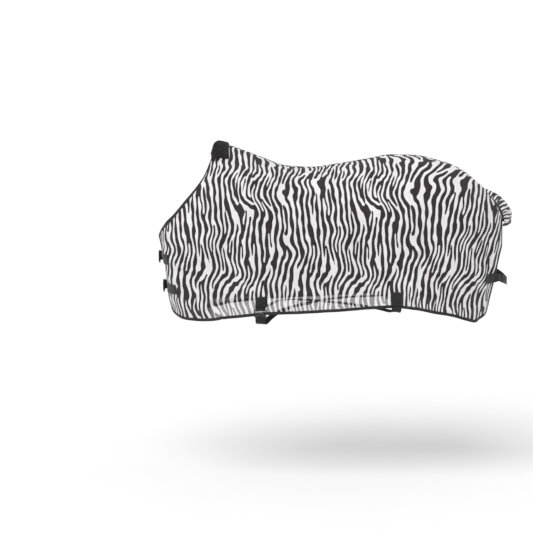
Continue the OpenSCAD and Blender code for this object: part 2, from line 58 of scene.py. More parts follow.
# ---- the lines of one side, as in the CAD part, in millimetres ----
# Top edge x y z, widest line x y z, hem x y z, start angle, rise beside the spine.
LINES = np.array([
    [-281, -58, -436, -257, -56, -570, -229, -52, -762, 66, 0],
    [-295, -4, -446, -271, -4, -570, -244, -4, -768, 66, 0],
    [-292, 48, -440, -264, 46, -570, -240, 42, -768, 66, 0],
    [-273, 95, -399, -262, 110, -570, -226, 86, -808, 60, 0],
    [-230, 135, -355, -236, 168, -565, -197, 130, -830, 54, 0],
    [-179, 150, -294, -182, 212, -555, -150, 176, -842, 46, 0],
    [-108, 140, -208, -112, 238, -540, -88, 212, -846, 36, 0],
    [-60, 108, -135, -52, 251, -520, -28, 236, -842, 24, 0],
    [-24, 52, -46, -10, 258, -505, 14, 248, -834, 10, 0],
    [0, 0, 14, 30, 263, -490, 52, 255, -826, 0, -38],
    [60, 0, 2, 88, 271, -478, 105, 262, -820, 0, -36],
    [135, 0, -24, 160, 279, -465, 170, 269, -812, 0, -26],
    [225, 0, -58, 245, 285, -455, 250, 275, -803, 0, -12],
    [340, 0, -97, 350, 289, -447, 350, 281, -800, 0, 0],
    [460, 0, -104, 460, 292, -440, 460, 285, -793, 0, 0],
    [600, 0, -86, 600, 292, -428, 600, 287, -784, 0, 0],
    [740, 0, -62, 740, 291, -410, 740, 287, -774, 0, 0],
    [860, 0, -42, 860, 289, -388, 860, 285, -766, 0, 0],
    [970, 0, -44, 970, 286, -366, 970, 281, -776, 0, 3],
    [1070, 0, -64, 1070, 280, -352, 1070, 275, -797, 0, 9],
    [1150, 0, -94, 1155, 270, -346, 1150, 264, -812, 0, 19],
    [1220, 0, -138, 1232, 252, -352, 1215, 248, -832, 0, 28],
    [1280, 0, -189, 1298, 224, -372, 1262, 222, -845, 4, 34],
    [1330, 38, -230, 1350, 192, -400, 1296, 184, -824, 14, 30],
    [1374, 84, -270, 1384, 164, -430, 1322, 146, -800, 32, 14],
    [1400, 134, -316, 1398, 142, -480, 1338, 114, -780, 56, 0],
], float)
LAST = len(LINES) - 1
FIRST = {NEAR: 2, OFF: 0}      # the near front edge laps over the off one
U_WITHERS, U_TAIL = 9, 22      # where the spine seam starts and ends
V_WIDE = 0.5
CREST_Y = 100
SEAM_GAP = 7.9

# Wedge over the dock: side edge x y z, middle ridge x z.
WEDGE = np.array([
    [1280, 0, -189, 1280, -189],
    [1330, 38, -230, 1334, -211],
    [1374, 84, -270, 1389, -238],
    [1400, 132, -317, 1438, -286],
    [1411, 130, -352, 1460, -334],
    [1404, 122, -384, 1454, -380],
], float)
WEDGE_INSET = 4

# Route of a surcingle: x, y, z, direction of its width in plan.
SURCINGLE = np.array([
    [217, 291, -832, 0], [218, 287, -840, 6], [224, 274, -848, 20],
    [238, 256, -843, 36], [262, 229, -825, 48], [302, 194, -803, 52],
    [370, 140, -784, 52],
    [510, 30, -768, 52], [547, 0, -766, 50], [625, -66, -767, 49],
    [700, -132, -772, 49], [770, -194, -778, 48], [822, -240, -782, 40],
    [856, -270, -786, 22], [872, -286, -784, 6], [877, -292, -776, 0],
    [877, -293, -762, 0],
], float)
CROSS_DROP = 13
TAIL_STRAP = np.array([
    [1396, 114, -640], [1412, 98, -648], [1428, 70, -658], [1437, 36, -666], [1440, 0, -669],
], float)
TAIL_TAB = np.array([[1386, 135, -636], [1393, 126, -637], [1396, 116, -639]], float)
TAIL_STRAP_W = 38

BINDING_W, BINDING_T = 14, 4
PATCH_H = 3.0
WEB_W, WEB_T = 48, 2.2
CHEST_CLIP_X, CHEST_CLIP_Y, CHEST_Z = (-289, -268), -38, (-548, -694)
BELLY_CLIP = (217, 287, -778)
CLIP_W, HOOK_W, RING_PITCH, BAR_R = 66, 34, 19, 2.2
BORE = BAR_R + 0.3
END_Y, END_BAR, END_L = BORE + 1.2, -RING_PITCH - 16, 15
SLIDER_RUN = 6
FLEECE_U, FLEECE_V, FLEECE_T = (8.1, 9.9), 0.11, 11


# ---- interpolation ----

def slopes(rows):
    d = np.diff(rows, axis=0)
    with np.errstate(divide="ignore", invalid="ignore"):
        inner = np.where(d[:-1] * d[1:] <= 0, 0, 2 * d[:-1] * d[1:] / (d[:-1] + d[1:]))
    return np.vstack([d[:1], np.nan_to_num(inner), d[-1:]])


def along(rows, u):
    """Rows of a table at the places u between its rows."""
    u = np.asarray(u, float)
    m = slopes(rows)
    i = np.clip(np.floor(u).astype(int), 0, len(rows) - 2)
    t = (u - i)[..., None]
    return ((2 * t**3 - 3 * t**2 + 1) * rows[i] + (t**3 - 2 * t**2 + t) * m[i]
            + (3 * t**2 - 2 * t**3) * rows[i + 1] + (t**3 - t**2) * m[i + 1])


def spread(*values):
    """Numbers and arrays as arrays of one shape."""
    return np.broadcast_arrays(*[np.asarray(a, float) for a in values])


def smooth(a, b, x):
    t = np.clip((x - a) / (b - a), 0, 1)
    return t * t * (3 - 2 * t)


def bump(x, middle, width):
    return np.exp(-((x - middle) / width) ** 2)


def unit(a):
    return a / np.maximum(np.linalg.norm(a, axis=-1, keepdims=True), 1e-12)


def catmull(points, n):
    """n points for each stretch of a smooth curve through the points."""
    p = np.vstack([2 * points[0] - points[1], points, 2 * points[-1] - points[-2]])
    out = []
    for i in range(1, len(p) - 2):
        t = np.arange(n)[:, None] / n
        a, b, c, d = p[i - 1:i + 3]
        out.append(0.5 * (2 * b + (c - a) * t + (2 * a - 5 * b + 4 * c - d) * t**2
                          + (3 * b - a - 3 * c + d) * t**3))
    return np.vstack(out + [points[-1:]])


def length_along(points):
    """Length of the line from its first point to each of its points."""
    return np.concatenate([[0], np.cumsum(np.linalg.norm(np.diff(points, axis=0), axis=1))])


def evenly(points, step, *others):
    """The points, and arrays that go with them, at even steps along their curve."""
    s = length_along(points)
    n = max(2, int(round(s[-1] / step)) + 1)
    at = np.linspace(0, s[-1], n)
    take = [np.stack([np.interp(at, s, a[:, k]) for k in range(a.shape[1])], 1)
            for a in (points, *others)]
    return take[0] if not others else take


# ---- the sheet's surface ----

def crest(y):
    return np.sin(np.pi / 2 * np.minimum(2, y / CREST_Y)) ** 2


def side_point(u, v):
    """A point of the off side, in millimetres."""
    u, v = spread(u, v)
    c = along(LINES, u)
    start = np.radians(c[..., 9])
    half = np.minimum(1, v / V_WIDE)
    low = np.maximum(0, (v - V_WIDE) / (1 - V_WIDE))
    phi = start + (np.pi / 2 - start) * half
    fall = (np.cos(start) - np.cos(phi)) / np.cos(start)
    out = (np.sin(phi) - np.sin(start)) / (1 - np.sin(start))
    below = low > 0
    x = np.where(below, c[..., 3] + (c[..., 6] - c[..., 3]) * low,
                 c[..., 0] + (c[..., 3] - c[..., 0]) * half)
    y = np.where(below, c[..., 4] + (c[..., 7] - c[..., 4]) * low**2,
                 c[..., 1] + (c[..., 4] - c[..., 1]) * out)
    z = np.where(below, c[..., 5] + (c[..., 8] - c[..., 5]) * low,
                 c[..., 2] + (c[..., 5] - c[..., 2]) * fall)
    y = np.where(c[..., 0] < -100, y, np.maximum(SEAM_GAP, y))
    z = z + c[..., 10] * (crest(y) - crest(c[..., 1]))
    return np.stack([x, y, z], -1)


def side_normal(u, v):
    u, v = spread(u, v)
    du, dv = 0.03, 0.004
    a, b = side_point(np.maximum(0, u - du), v), side_point(np.minimum(LAST, u + du), v)
    p, q = side_point(u, np.maximum(0.0001, v - dv)), side_point(u, np.minimum(1, v + dv))
    return unit(np.cross(b - a, q - p))


def folds(side, u, v, p):
    """How far the cloth stands out of its smooth shape, in millimetres."""
    x, z = p[..., 0], p[..., 2]
    turn = 0.0 if side == NEAR else 2.1
    hang = smooth(0.5, 1.0, v)
    taut = 1 - 0.9 * (bump(x, 217, 60) + bump(x, 877, 70)) * smooth(0.62, 0.85, v)
    flutes = hang**1.5 * (3.6 * np.sin(x / 62 + 0.9 + turn + z / 400)
                          + 2.0 * np.sin(x / 31 + 2.2 * turn) + 0.9 * np.sin(x / 15 + z / 130))
    drift = 1.4 * np.sin(x / 88 + z / 120 + turn) * np.sin(z / 150 + x / 260 + 1.3)
    fine = 0.5 * np.sin(x / 21 - z / 47 + turn) * np.sin(z / 33 + x / 90)
    # A pleat that falls from the flank to the hem.
    lean = 955 + 32 * smooth(-800, -330, z) + (0 if side == NEAR else -22)
    deep = smooth(-300, -520, z) * (1 - 0.45 * smooth(-700, -800, z))
    pleat = deep * (6.5 * bump(x, lean, 9) - 4.5 * bump(x, lean + 17, 12)
                    + 2.0 * bump(x, lean - 26, 16))
    # The crease of a sheet that was folded in its bag.
    crease = 1.5 * bump(z, -372 + 6 * np.sin(x / 90), 4.5) * smooth(190, 260, x) * smooth(660, 600, x)
    # Upright folds where the quarters turn in to the tail, and pulls from the chest straps.
    quarters = smooth(1180, 1300, x) * smooth(-380, -560, z) * (
        3.4 * np.sin(x / 9.5 + z / 160 + turn) + 2.0 * np.sin(x / 17 + 1))
    chest = smooth(-60, -210, x) * smooth(-430, -520, z)
    pulls = chest * (2.6 * np.sin((z + 0.35 * x) / 17 + turn)
                     + 1.8 * np.sin((z - 0.3 * x) / 27)) * smooth(-860, -760, z)
    ease_in = smooth(0.0, 0.10, v) * (1 - 0.7 * smooth(FIRST[side] + 0.5, FIRST[side], u))
    ease_in = ease_in * (1 - 0.6 * smooth(LAST - 0.3, LAST, u))
    return ease_in * (flutes * taut + drift + fine + pleat + crease + quarters + pulls)


def surface(side, u, v, h=0.0):
    """Points of the hanging cloth in metres, h millimetres outside it."""
    p, n = side_point(u, v), side_normal(u, v)
    return (p + (folds(side, u, v, p) + h)[..., None] * n) * [1, side, 1] * MM


def per_u(u, v):
    a, b = np.maximum(0, u - 0.1), np.minimum(LAST, u + 0.1)
    return np.linalg.norm(side_point(b, v) - side_point(a, v), axis=-1) / (b - a)


def per_v(u, v):
    a, b = np.maximum(0, v - 0.01), np.minimum(1, v + 0.01)
    return np.linalg.norm(side_point(u, b) - side_point(u, a), axis=-1) / (b - a)


def find_uv(x, z, u, v):
    """u and v where the side view shows x and z, in millimetres."""
    for _ in range(12):
        p = side_point(u, v)
        a, b = (side_point(u + 0.01, v) - p) / 0.01, (side_point(u, v + 0.002) - p) / 0.002
        det = a[0] * b[2] - b[0] * a[2]
        rx, rz = x - p[0], z - p[2]
        u, v = u + (rx * b[2] - b[0] * rz) / det, v + (a[0] * rz - rx * a[2]) / det
    return float(u), float(v)


# ---- the zebra print ----

REPEAT = 0.61                  # the print's repeat along the cloth
STRIPES = 22                   # stripes in one repeat
EXTRA_STRIPES = 62             # short stripes that start and end in a fork
# Swings of all the stripes: waves along the repeat, wave length up the cloth, millimetres.
SWAY = [(0, 0.52, 13), (0, 0.27, 7), (1, 0.31, 5), (-1, 0.24, 5), (1, 0.17, 4), (2, 0.21, 2.5),
        (-2, 0.15, 2), (3, 0.12, 1.5), (-3, 0.33, 2), (0, 0.105, 2)]


def zebra(x, z, seed=7):
    """Over 0 in a dark stripe and under 0 in a white one, x and z in metres of flat cloth."""
    rng = np.random.default_rng(seed)
    k = 2 * np.pi * STRIPES / REPEAT

    def wave(m, long):
        return np.sin(2 * np.pi * (m * x / REPEAT + z / long) + rng.uniform(0, 6.28))

    phase = k * x
    for m, long, size in SWAY:             # neighbouring stripes sway together
        phase = phase + k * size * MM * wave(m, long)
    for n in range(12):                    # uneven edges
        phase = phase + 0.11 * wave(rng.integers(3, 20) * rng.choice([-1, 1]),
                                    rng.uniform(0.05, 0.15))
    ends = []
    while len(ends) < 2 * EXTRA_STRIPES:
        x0, z0 = rng.uniform(0, REPEAT), rng.uniform(-0.95, 0.2)
        long, sign = rng.uniform(0.05, 0.16), rng.choice([-1, 1])
        pair = [(x0, z0, sign), (x0 + rng.uniform(-0.012, 0.012), z0 + long, -sign)]
        if all((((a - c + REPEAT / 2) % REPEAT - REPEAT / 2) / 0.024) ** 2 + ((b - d) / 0.045) ** 2 > 1
               for a, b, _ in pair for c, d, _ in ends):
            ends += pair
    calm = np.ones_like(x)
    for xc, zc, charge in ends:            # a stripe forks, or ends in a point
        turn = np.pi * (x - xc) / REPEAT
        rise = 0.26 * (z - zc)
        phase = phase + charge * np.arctan2(np.tanh(np.pi * rise / REPEAT) * np.cos(turn),
                                            np.sin(turn))
        near = (np.sin(turn) * REPEAT / np.pi) ** 2 + rise**2
        calm = calm * (1 - np.exp(-near / 0.003**2))
    weight = np.zeros_like(x)
    for n in range(9):
        weight = weight + 0.12 * wave(rng.integers(1, 14), rng.uniform(0.06, 0.35))
    return np.cos(phase) * (0.4 + 0.6 * calm) + weight + 0.17


def flat_cloth(side, u, v):
    """Where a point of a panel was on the flat cloth, in metres."""
    us = np.linspace(0, LAST, 801)
    wide = side_point(us, V_WIDE)
    run = length_along(wide[:, :2])
    p = side_point(u, v)
    at_wide = side_point(u, V_WIDE)
    x = np.interp(u, us, run) + (p[..., 0] - at_wide[..., 0])
    vs = np.linspace(0, V_WIDE, 41)
    stations = side_point(us[:, None], vs[None, :])
    steps = np.linalg.norm(np.diff(stations, axis=1), axis=-1)
    above = np.concatenate([np.cumsum(steps[:, ::-1], 1)[:, ::-1], np.zeros((len(us), 1))], 1)
    iu = np.clip(u / LAST * 800, 0, 799.999)
    iv = np.clip(v / V_WIDE * 40, 0, 39.999)
    i, j = iu.astype(int), iv.astype(int)
    fu, fv = iu - i, iv - j
    up = ((above[i, j] * (1 - fu) + above[i + 1, j] * fu) * (1 - fv)
          + (above[i, j + 1] * (1 - fu) + above[i + 1, j + 1] * fu) * fv)
    z = np.where(v < V_WIDE, at_wide[..., 2] + up, p[..., 2])
    return x * MM, z * MM


def panel_print(side, x, z):
    lean = 0.30 * (z + 0.45) * smooth(1.35, 1.75, x)
    shift = (0.0, 0.0) if side == NEAR else (0.21, 0.13)
    return zebra(x - lean + shift[0], z + shift[1])


# ---- meshes ----

def add_piece(name, points, faces, material, body, replaces=(), uv=None, values=None,
              sharp=None):
    mesh = bpy.data.meshes.new(name)
    mesh.from_pydata(np.asarray(points, float).reshape(-1, 3).tolist(), [], faces)
    mesh.validate()
    if uv is not None:
        layer = mesh.uv_layers.new(name="cloth")
        corner = np.empty(len(mesh.loops), int)
        mesh.loops.foreach_get("vertex_index", corner)
        layer.data.foreach_set("uv", np.asarray(uv, float).reshape(-1, 2)[corner].ravel())
    for key, value in (values or {}).items():
        mesh.attributes.new(key, "FLOAT", "POINT").data.foreach_set("value", np.asarray(value).ravel())
    mesh.shade_smooth()
    if sharp is not None:
        mesh.set_sharp_from_angle(angle=math.radians(sharp))
    mesh.materials.append(material)
    piece = bpy.data.objects.new(name, mesh)
    bpy.context.scene.collection.objects.link(piece)
    if body:
        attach(piece, body)
    if replaces:
        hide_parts(*replaces)
    return piece


def grid_faces(rows, cols, flip=False, start=0):
    i, j = np.meshgrid(np.arange(rows - 1), np.arange(cols - 1), indexing="ij")
    a = (start + i * cols + j).ravel()
    quads = np.stack([a, a + 1, a + cols + 1, a + cols], 1)
    return (quads[:, ::-1] if flip else quads).tolist()


def loft_faces(rings, size, start=0, caps=True, flip=False):
    """Faces of a tube of rings, each a closed loop of size points."""
    faces = []
    for i in range(rings - 1):
        for j in range(size):
            a, b = start + i * size + j, start + i * size + (j + 1) % size
            faces.append([a, b, b + size, a + size])
    if caps:
        faces.append([start + j for j in range(size)][::-1])
        faces.append([start + (rings - 1) * size + j for j in range(size)])
    return [f[::-1] for f in faces] if flip else faces


def loft(name, rings, material, body, replaces, uv, flip=False):
    return add_piece(name, rings, loft_faces(*rings.shape[:2], flip=flip), material, body,
                     replaces, uv)


def rounded_section(width, thick, ribs, rib_depth):
    """Section of webbing: across and up, counter-clockwise, with round edges."""
    r = thick / 2
    t = np.linspace(-1, 1, 4 * ribs + 1)
    across = t * (width / 2 - r)
    relief = rib_depth * np.cos(np.pi * ribs * (t + 1))
    top = np.stack([across, r + relief], 1)
    bottom = np.stack([across, -r - relief], 1)[::-1]
    arc = np.radians([60, 20, -20, -60])
    right = np.stack([width / 2 - r + r * np.cos(arc), r * np.sin(arc)], 1)
    left = np.stack([-width / 2 + r - r * np.cos(arc), -r * np.sin(arc)], 1)
    return np.vstack([top, right, bottom, left])


def ribbon(name, centres, across, width, thick, body, replaces, ribs=15):
    """Webbing along the centres, in metres. across is the direction of its width."""
    ahead = unit(np.gradient(centres, axis=0))
    wide = unit(across - (across * ahead).sum(1, keepdims=True) * ahead)
    up = np.cross(ahead, wide)
    widths = np.broadcast_to(np.asarray(width, float), (len(centres),))
    mean = float(np.mean(widths))
    flat = rounded_section(1000, 1000 * thick / mean, ribs, 0.0)[:, 0] / 1000
    section = rounded_section(mean, thick, ribs, 0.16)
    rings = np.stack([c + (flat[:, None] * w * MM) * a + (section[:, 1][:, None] * MM) * b
                      for c, w, a, b in zip(centres, widths, wide, up)])
    length = length_along(centres)
    return loft(name, rings, WEBBING, body, replaces, strip_uv(flat * mean * MM, length))


def stitches(points, ups, pitch=STITCH / MM, length=3.0, width=0.75, height=0.45):
    """Thread stitches along a line of points in metres; sizes in millimetres."""
    p, up = evenly(points, pitch * MM, ups)
    up = unit(up)
    ahead = unit(np.gradient(p, axis=0))
    side = np.cross(ahead, up)
    a, b, c = (length * MM / 2) * ahead, (width * MM / 2) * side, (height * MM) * up
    verts = np.stack([p - a, p + b + 0.3 * c, p + c, p - b + 0.3 * c, p + a, p - 0.4 * c], 1)
    faces = []
    for i in range(len(p)):
        k = 6 * i
        faces += [[k, k + 1, k + 2], [k, k + 2, k + 3], [k + 4, k + 2, k + 1],
                  [k + 4, k + 3, k + 2], [k, k + 5, k + 1], [k, k + 3, k + 5],
                  [k + 4, k + 1, k + 5], [k + 4, k + 5, k + 3]]
    return verts.reshape(-1, 3), faces


def join_parts(parts):
    """One mesh from several (points, faces) pairs."""
    points, faces, start = [], [], 0
    for p, f in parts:
        p = np.asarray(p, float).reshape(-1, 3)
        points.append(p)
        faces += [[i + start for i in face] for face in f]
        start += len(p)
    return np.vstack(points), faces


def strip_uv(across, run):
    """The uv of a strip's rings: the place across the strip and the length along it."""
    return np.stack(np.broadcast_arrays(across, run[:, None]), -1)


def ring_faces(rings, size):
    """Faces of a tube of rings whose last ring meets its first."""
    last = (rings - 1) * size
    return loft_faces(rings, size, caps=False) + [
        [last + i, last + (i + 1) % size, (i + 1) % size, i] for i in range(size)]


def slab_faces(nu, nv, flip):
    """Faces of a slab: a grid, the same grid below it and the rim between them."""
    n = nu * nv
    faces = grid_faces(nu, nv, flip) + grid_faces(nu, nv, not flip, n)
    ring = ([i * nv for i in range(nu)] + [(nu - 1) * nv + j for j in range(1, nv)]
            + [i * nv + nv - 1 for i in range(nu - 2, -1, -1)] + [j for j in range(nv - 2, 0, -1)])
    for i, j in zip(ring, ring[1:] + ring[:1]):
        faces.append([i, j, j + n, i + n] if not flip else [j, i, i + n, j + n])
    return faces


def add_thread(name, rows, body):
    """The stitches of some rows as one piece."""
    points, faces = join_parts(rows)
    return add_piece(f"{name}_stitches", points, faces, THREAD, body)


# ---- materials ----

class Nodes:
    """A short way to write a material's nodes."""

    def __init__(self, name):
        self.material = bpy.data.materials.new(name)
        self.material.use_nodes = True
        self.tree = self.material.node_tree
        self.shader = self.tree.nodes["Principled BSDF"]

    def set(self, target, value):
        if isinstance(value, bpy.types.NodeSocket):
            self.tree.links.new(value, target)
        else:
            target.default_value = value

    def add(self, kind, out=0, settings=None, **inputs):
        node = self.tree.nodes.new(kind)
        for key, value in (settings or {}).items():
            setattr(node, key, value)
        for key, value in inputs.items():
            socket = node.inputs[int(key[1:])] if key[0] == "i" and key[1:].isdigit() \
                else node.inputs[key.replace("_", " ")]
            self.set(socket, value)
        return node.outputs[out]

    def math(self, operation, a, b=0.0, c=0.0):
        return self.add("ShaderNodeMath", settings={"operation": operation}, i0=a, i1=b, i2=c)

    def ramp(self, value, low, high, to_low=0.0, to_high=1.0):
        return self.add("ShaderNodeMapRange", settings={"interpolation_type": "SMOOTHSTEP"},
                        Value=value, From_Min=low, From_Max=high, To_Min=to_low, To_Max=to_high)

    def mix(self, share, a, b):
        node = self.tree.nodes.new("ShaderNodeMix")
        node.data_type = "RGBA"
        self.set(node.inputs[0], share)
        self.set(node.inputs[6], a)
        self.set(node.inputs[7], b)
        return node.outputs[2]

    def shade(self, **inputs):
        """Set the shader's sockets, each by its name with _ for a space."""
        for key, value in inputs.items():
            self.set(self.shader.inputs[key.replace("_", " ")], value)

    def cloth(self):
        """The cloth's uv, and its two parts."""
        uv = self.add("ShaderNodeUVMap", settings={"uv_map": "cloth"})
        parts = self.tree.nodes.new("ShaderNodeSeparateXYZ")
        self.tree.links.new(uv, parts.inputs[0])
        return uv, parts.outputs[0], parts.outputs[1]

    def wave(self, value, length):
        return self.math("SINE", self.math("MULTIPLY", value, 2 * math.pi / length))

    def noise(self, vector, scale, detail=3.0, roughness=0.55):
        return self.add("ShaderNodeTexNoise", Vector=vector, Scale=scale, Detail=detail,
                        Roughness=roughness)

    def bump(self, height, distance, strength):
        return self.add("ShaderNodeBump", Height=height, Distance=distance, Strength=strength)


def rgb(r, g, b):
    return (r, g, b, 1.0)


OPENNESS = 0.31                # share of the cloth that is holes, where the mesh is open
YARN = 0.0022                  # metres from one yarn of the mesh to the next


def zebra_material():
    """Printed mesh: tiny holes between the yarns, stripes printed through the cloth."""
    n = Nodes("zebra_mesh")
    uv, across, along_cloth = n.cloth()
    stripe = n.add("ShaderNodeAttribute", out=2, settings={"attribute_name": "zebra"})
    fray = n.math("MULTIPLY_ADD", n.noise(uv, 700.0, 2.0), 0.36, -0.18)
    dark = n.ramp(n.math("ADD", stripe, fray), -0.09, 0.09)
    worn = n.noise(uv, 9.0, 4.0)
    white = n.mix(n.ramp(worn, 0.35, 0.7), rgb(0.78, 0.745, 0.765), rgb(0.85, 0.825, 0.84))
    black = n.mix(n.ramp(worn, 0.3, 0.75), rgb(0.015, 0.0075, 0.0090), rgb(0.024, 0.014, 0.0165))
    yarn = n.math("MULTIPLY", n.wave(across, YARN), n.wave(along_cloth, YARN))
    colour = n.mix(n.ramp(yarn, 0.1, 0.9, 0.0, 0.22), n.mix(dark, white, black),
                   n.mix(dark, rgb(0.55, 0.53, 0.54), rgb(0.010, 0.008, 0.009)))
    # The openness attribute is painted light: open in the band above the belly hem to paint backlight there,
    # and nearly closed elsewhere to paint shade behind the cloth.
    painted_backlight_openness = n.add("ShaderNodeAttribute", out=2, settings={"attribute_name": "painted_backlight_openness"})
    hole = n.math("MULTIPLY", painted_backlight_openness, n.ramp(yarn, 0.0, 1.0, OPENNESS * 0.72, OPENNESS * 1.8))
    n.shade(Base_Color=colour, Roughness=n.ramp(n.noise(uv, 60.0), 0.3, 0.7, 0.62, 0.78),
            Specular_IOR_Level=0.35, Sheen_Weight=0.08, Alpha=n.math("SUBTRACT", 1.0, hole),
            Normal=n.bump(yarn, 0.0004, 0.6))
    return n.material


def tape_material(name, colour, lighter, rib, across=False, relief=0.00025):
    """Woven tape or webbing, with its ribs along its length and a fine cross weave."""
    n = Nodes(name)
    _, a, b = n.cloth()
    if across:
        a, b = b, a
    long = n.wave(a, rib)
    shifted = n.math("MULTIPLY_ADD", n.math("SIGN", long), 0.25 * rib, b)
    cross = n.wave(shifted, 0.55 * rib)
    weave = n.math("MULTIPLY_ADD", cross, 0.45, n.math("MULTIPLY", long, 0.55))
    dust = n.noise(n.add("ShaderNodeTexCoord", out=3), 22.0, 5.0)
    tone = n.mix(n.ramp(weave, -0.8, 0.9), rgb(*[0.45 * c for c in colour]), rgb(*colour))
    n.shade(Base_Color=n.mix(n.ramp(dust, 0.42, 0.75, 0.0, 0.55), tone, rgb(*lighter)),
            Roughness=n.ramp(weave, -1.0, 1.0, 0.8, 0.6), Specular_IOR_Level=0.4,
            Sheen_Weight=0.12, Sheen_Roughness=0.5, Normal=n.bump(weave, relief, 0.8))
    return n.material


def fleece_material():
    n = Nodes("fleece")
    where = n.add("ShaderNodeTexCoord", out=3)
    curl = n.noise(where, 260.0, 4.0, 0.7)
    locks = n.noise(where, 55.0, 3.0)
    colour = n.mix(n.ramp(curl, 0.35, 0.7), rgb(0.007, 0.006, 0.007), rgb(0.030, 0.026, 0.028))
    n.shade(Base_Color=n.mix(n.ramp(locks, 0.45, 0.75, 0.0, 0.5), colour, rgb(0.045, 0.039, 0.042)),
            Roughness=n.ramp(curl, 0.3, 0.7, 0.85, 0.98), Specular_IOR_Level=0.2,
            Sheen_Weight=0.25, Sheen_Roughness=0.6, Normal=n.bump(curl, 0.002, 0.8))
    return n.material


def plastic_material():
    n = Nodes("plastic")
    where = n.add("ShaderNodeTexCoord", out=3)
    grain = n.noise(where, 1400.0, 2.0)
    scuffs = n.noise(where, 90.0, 6.0, 0.65)
    worn = n.mix(n.ramp(scuffs, 0.5, 0.78), rgb(0.018, 0.018, 0.019), rgb(0.048, 0.047, 0.048))
    n.shade(Base_Color=worn, Roughness=n.ramp(scuffs, 0.3, 0.75, 0.34, 0.52),
            Normal=n.bump(grain, 0.0002, 0.35))
    return n.material


def thread_material():
    n = Nodes("thread")
    twist = n.noise(n.add("ShaderNodeTexCoord", out=3), 900.0, 2.0)
    colour = n.mix(n.ramp(twist, 0.35, 0.65), rgb(0.02, 0.019, 0.021), rgb(0.075, 0.072, 0.078))
    n.shade(Base_Color=colour, Roughness=n.ramp(twist, 0.3, 0.7, 0.38, 0.6), Sheen_Weight=0.1)
    return n.material


MESH = zebra_material()
BINDING = tape_material("binding", (0.017, 0.0145, 0.0155), (0.034, 0.030, 0.032), 0.0016,
                        across=True, relief=0.00018)
WEBBING = tape_material("webbing", (0.011, 0.0095, 0.010), (0.022, 0.019, 0.020), 0.0032)
FLEECE = fleece_material()
PLASTIC = plastic_material()
THREAD = thread_material()


# ---- the two side panels ----

def even_places(places, points, n):
    """n of the places, at even steps along the line of their points."""
    run = length_along(points)
    return np.interp(np.linspace(0, run[-1], n), run, places)


def even_u(first, n):
    us = np.linspace(first, LAST, 2001)
    return even_places(us, side_point(us, 0.6), n)


def even_v(n):
    vs = np.linspace(0, 1, 1001)
    return even_places(vs, side_point(13.0, vs), n)


COLUMNS = {NEAR: 430, OFF: 450}
ROWS = 230


def painted_backlight_openness(side, u, v):
    """How open the mesh is, painted to look lit and shaded: open in the band above the belly hem as painted
    backlight, and nearly closed over the body as painted shade behind the cloth.
    """
    p = side_point(u, v)
    x, z = p[..., 0], p[..., 2]
    start = np.interp(x, [-80, 20, 600, 800, 860, 930], [-745, -728, -705, -700, -745, -790])
    ends = smooth(-60, 20, x) * smooth(905, 850, x)
    return 0.07 + 0.93 * ends * smooth(14, -14, z - start)


def panel(side):
    us, vs = even_u(FIRST[side], COLUMNS[side]), even_v(ROWS)
    u, v = np.meshgrid(us, vs, indexing="ij")
    x, z = flat_cloth(side, u, v)
    name = SIDE_NAMES[side]
    return add_piece(f"{name}_panel_cloth", surface(side, u, v),
                     grid_faces(len(us), len(vs), side == OFF), MESH, "sheet",
                     [f"{name}_panel"],
                     uv=np.stack([x, z], -1),
                     values={"zebra": panel_print(side, x, z), "painted_backlight_openness": painted_backlight_openness(side, u, v)})


panels = {side: panel(side) for side in (NEAR, OFF)}


# ---- bindings ----

def tape_section():
    """Folded tape round an edge: distance in from the edge and height, in millimetres."""
    w, t = BINDING_W, BINDING_T / 2
    e = np.array([w, w - 0.4, w - 2.2, w - 3.6, w - 6, w - 9, w - 12, 0.6, -0.3, -0.9])
    h = np.array([t - 0.9, t - 0.15, t - 0.35, t - 0.25, t, t + 0.05, t, t - 0.15, t - 0.6, 0.5])
    outer = np.stack([e, h], 1)
    inner = np.stack([e, -h], 1)[::-1]
    return np.vstack([outer, inner])


TAPE = tape_section()
PUCKER = 0.22                  # millimetres that the tape stands up between two stitches


def from_edge(edge, inset):
    """u and v at a distance in from an edge: us, vs and which way is in along u and v."""
    us, vs, in_u, in_v = edge
    at = us, np.clip(vs, 0.01, 0.99)
    return us + in_u * inset / per_u(*at), vs + in_v * inset / per_v(*at)


def edge_strip(side, edge, wide):
    """Rings of folded tape along an edge."""
    us, vs = edge[:2]
    run = length_along(surface(side, us, vs))
    rings = []
    for e, h in TAPE:
        e_in = wide * max(e, 0.0)
        middle = math.sin(math.pi * min(1, e_in / wide / BINDING_W))
        bulge = h + np.sign(h) * PUCKER * np.sin(run / STITCH * np.pi) * middle
        p = surface(side, *from_edge(edge, e_in), bulge)
        if e < 0:
            q = surface(side, *from_edge(edge, 2), h)
            p = p + unit(p - q) * (-e) * MM
        rings.append(p)
    face = np.where(np.arange(len(TAPE)) < len(TAPE) / 2, 1, -1)
    return np.stack(rings, 1), strip_uv(TAPE[:, 0] * MM * face, run)


def stitch_row(side, edge, inset, height):
    u, v = from_edge(edge, inset)
    p, q = surface(side, u, v, height), surface(side, u, v, height + 2.0)
    return stitches(p, (q - p) * np.sign(height + 1e-9))


def binding(side, name, us, vs, in_u, in_v, flip, wide=1.0):
    edge = *spread(us, vs), in_u, in_v
    rings, uv = edge_strip(side, edge, wide)
    piece = loft(f"{name}_tape", rings, BINDING, "sheet", [name], uv,
                 flip=flip != (side == OFF))
    inset = wide * BINDING_W - 2.6
    rows = [stitch_row(side, edge, inset, h) for h in (1.75, -1.75)]
    return [piece, add_thread(name, rows, "sheet")]


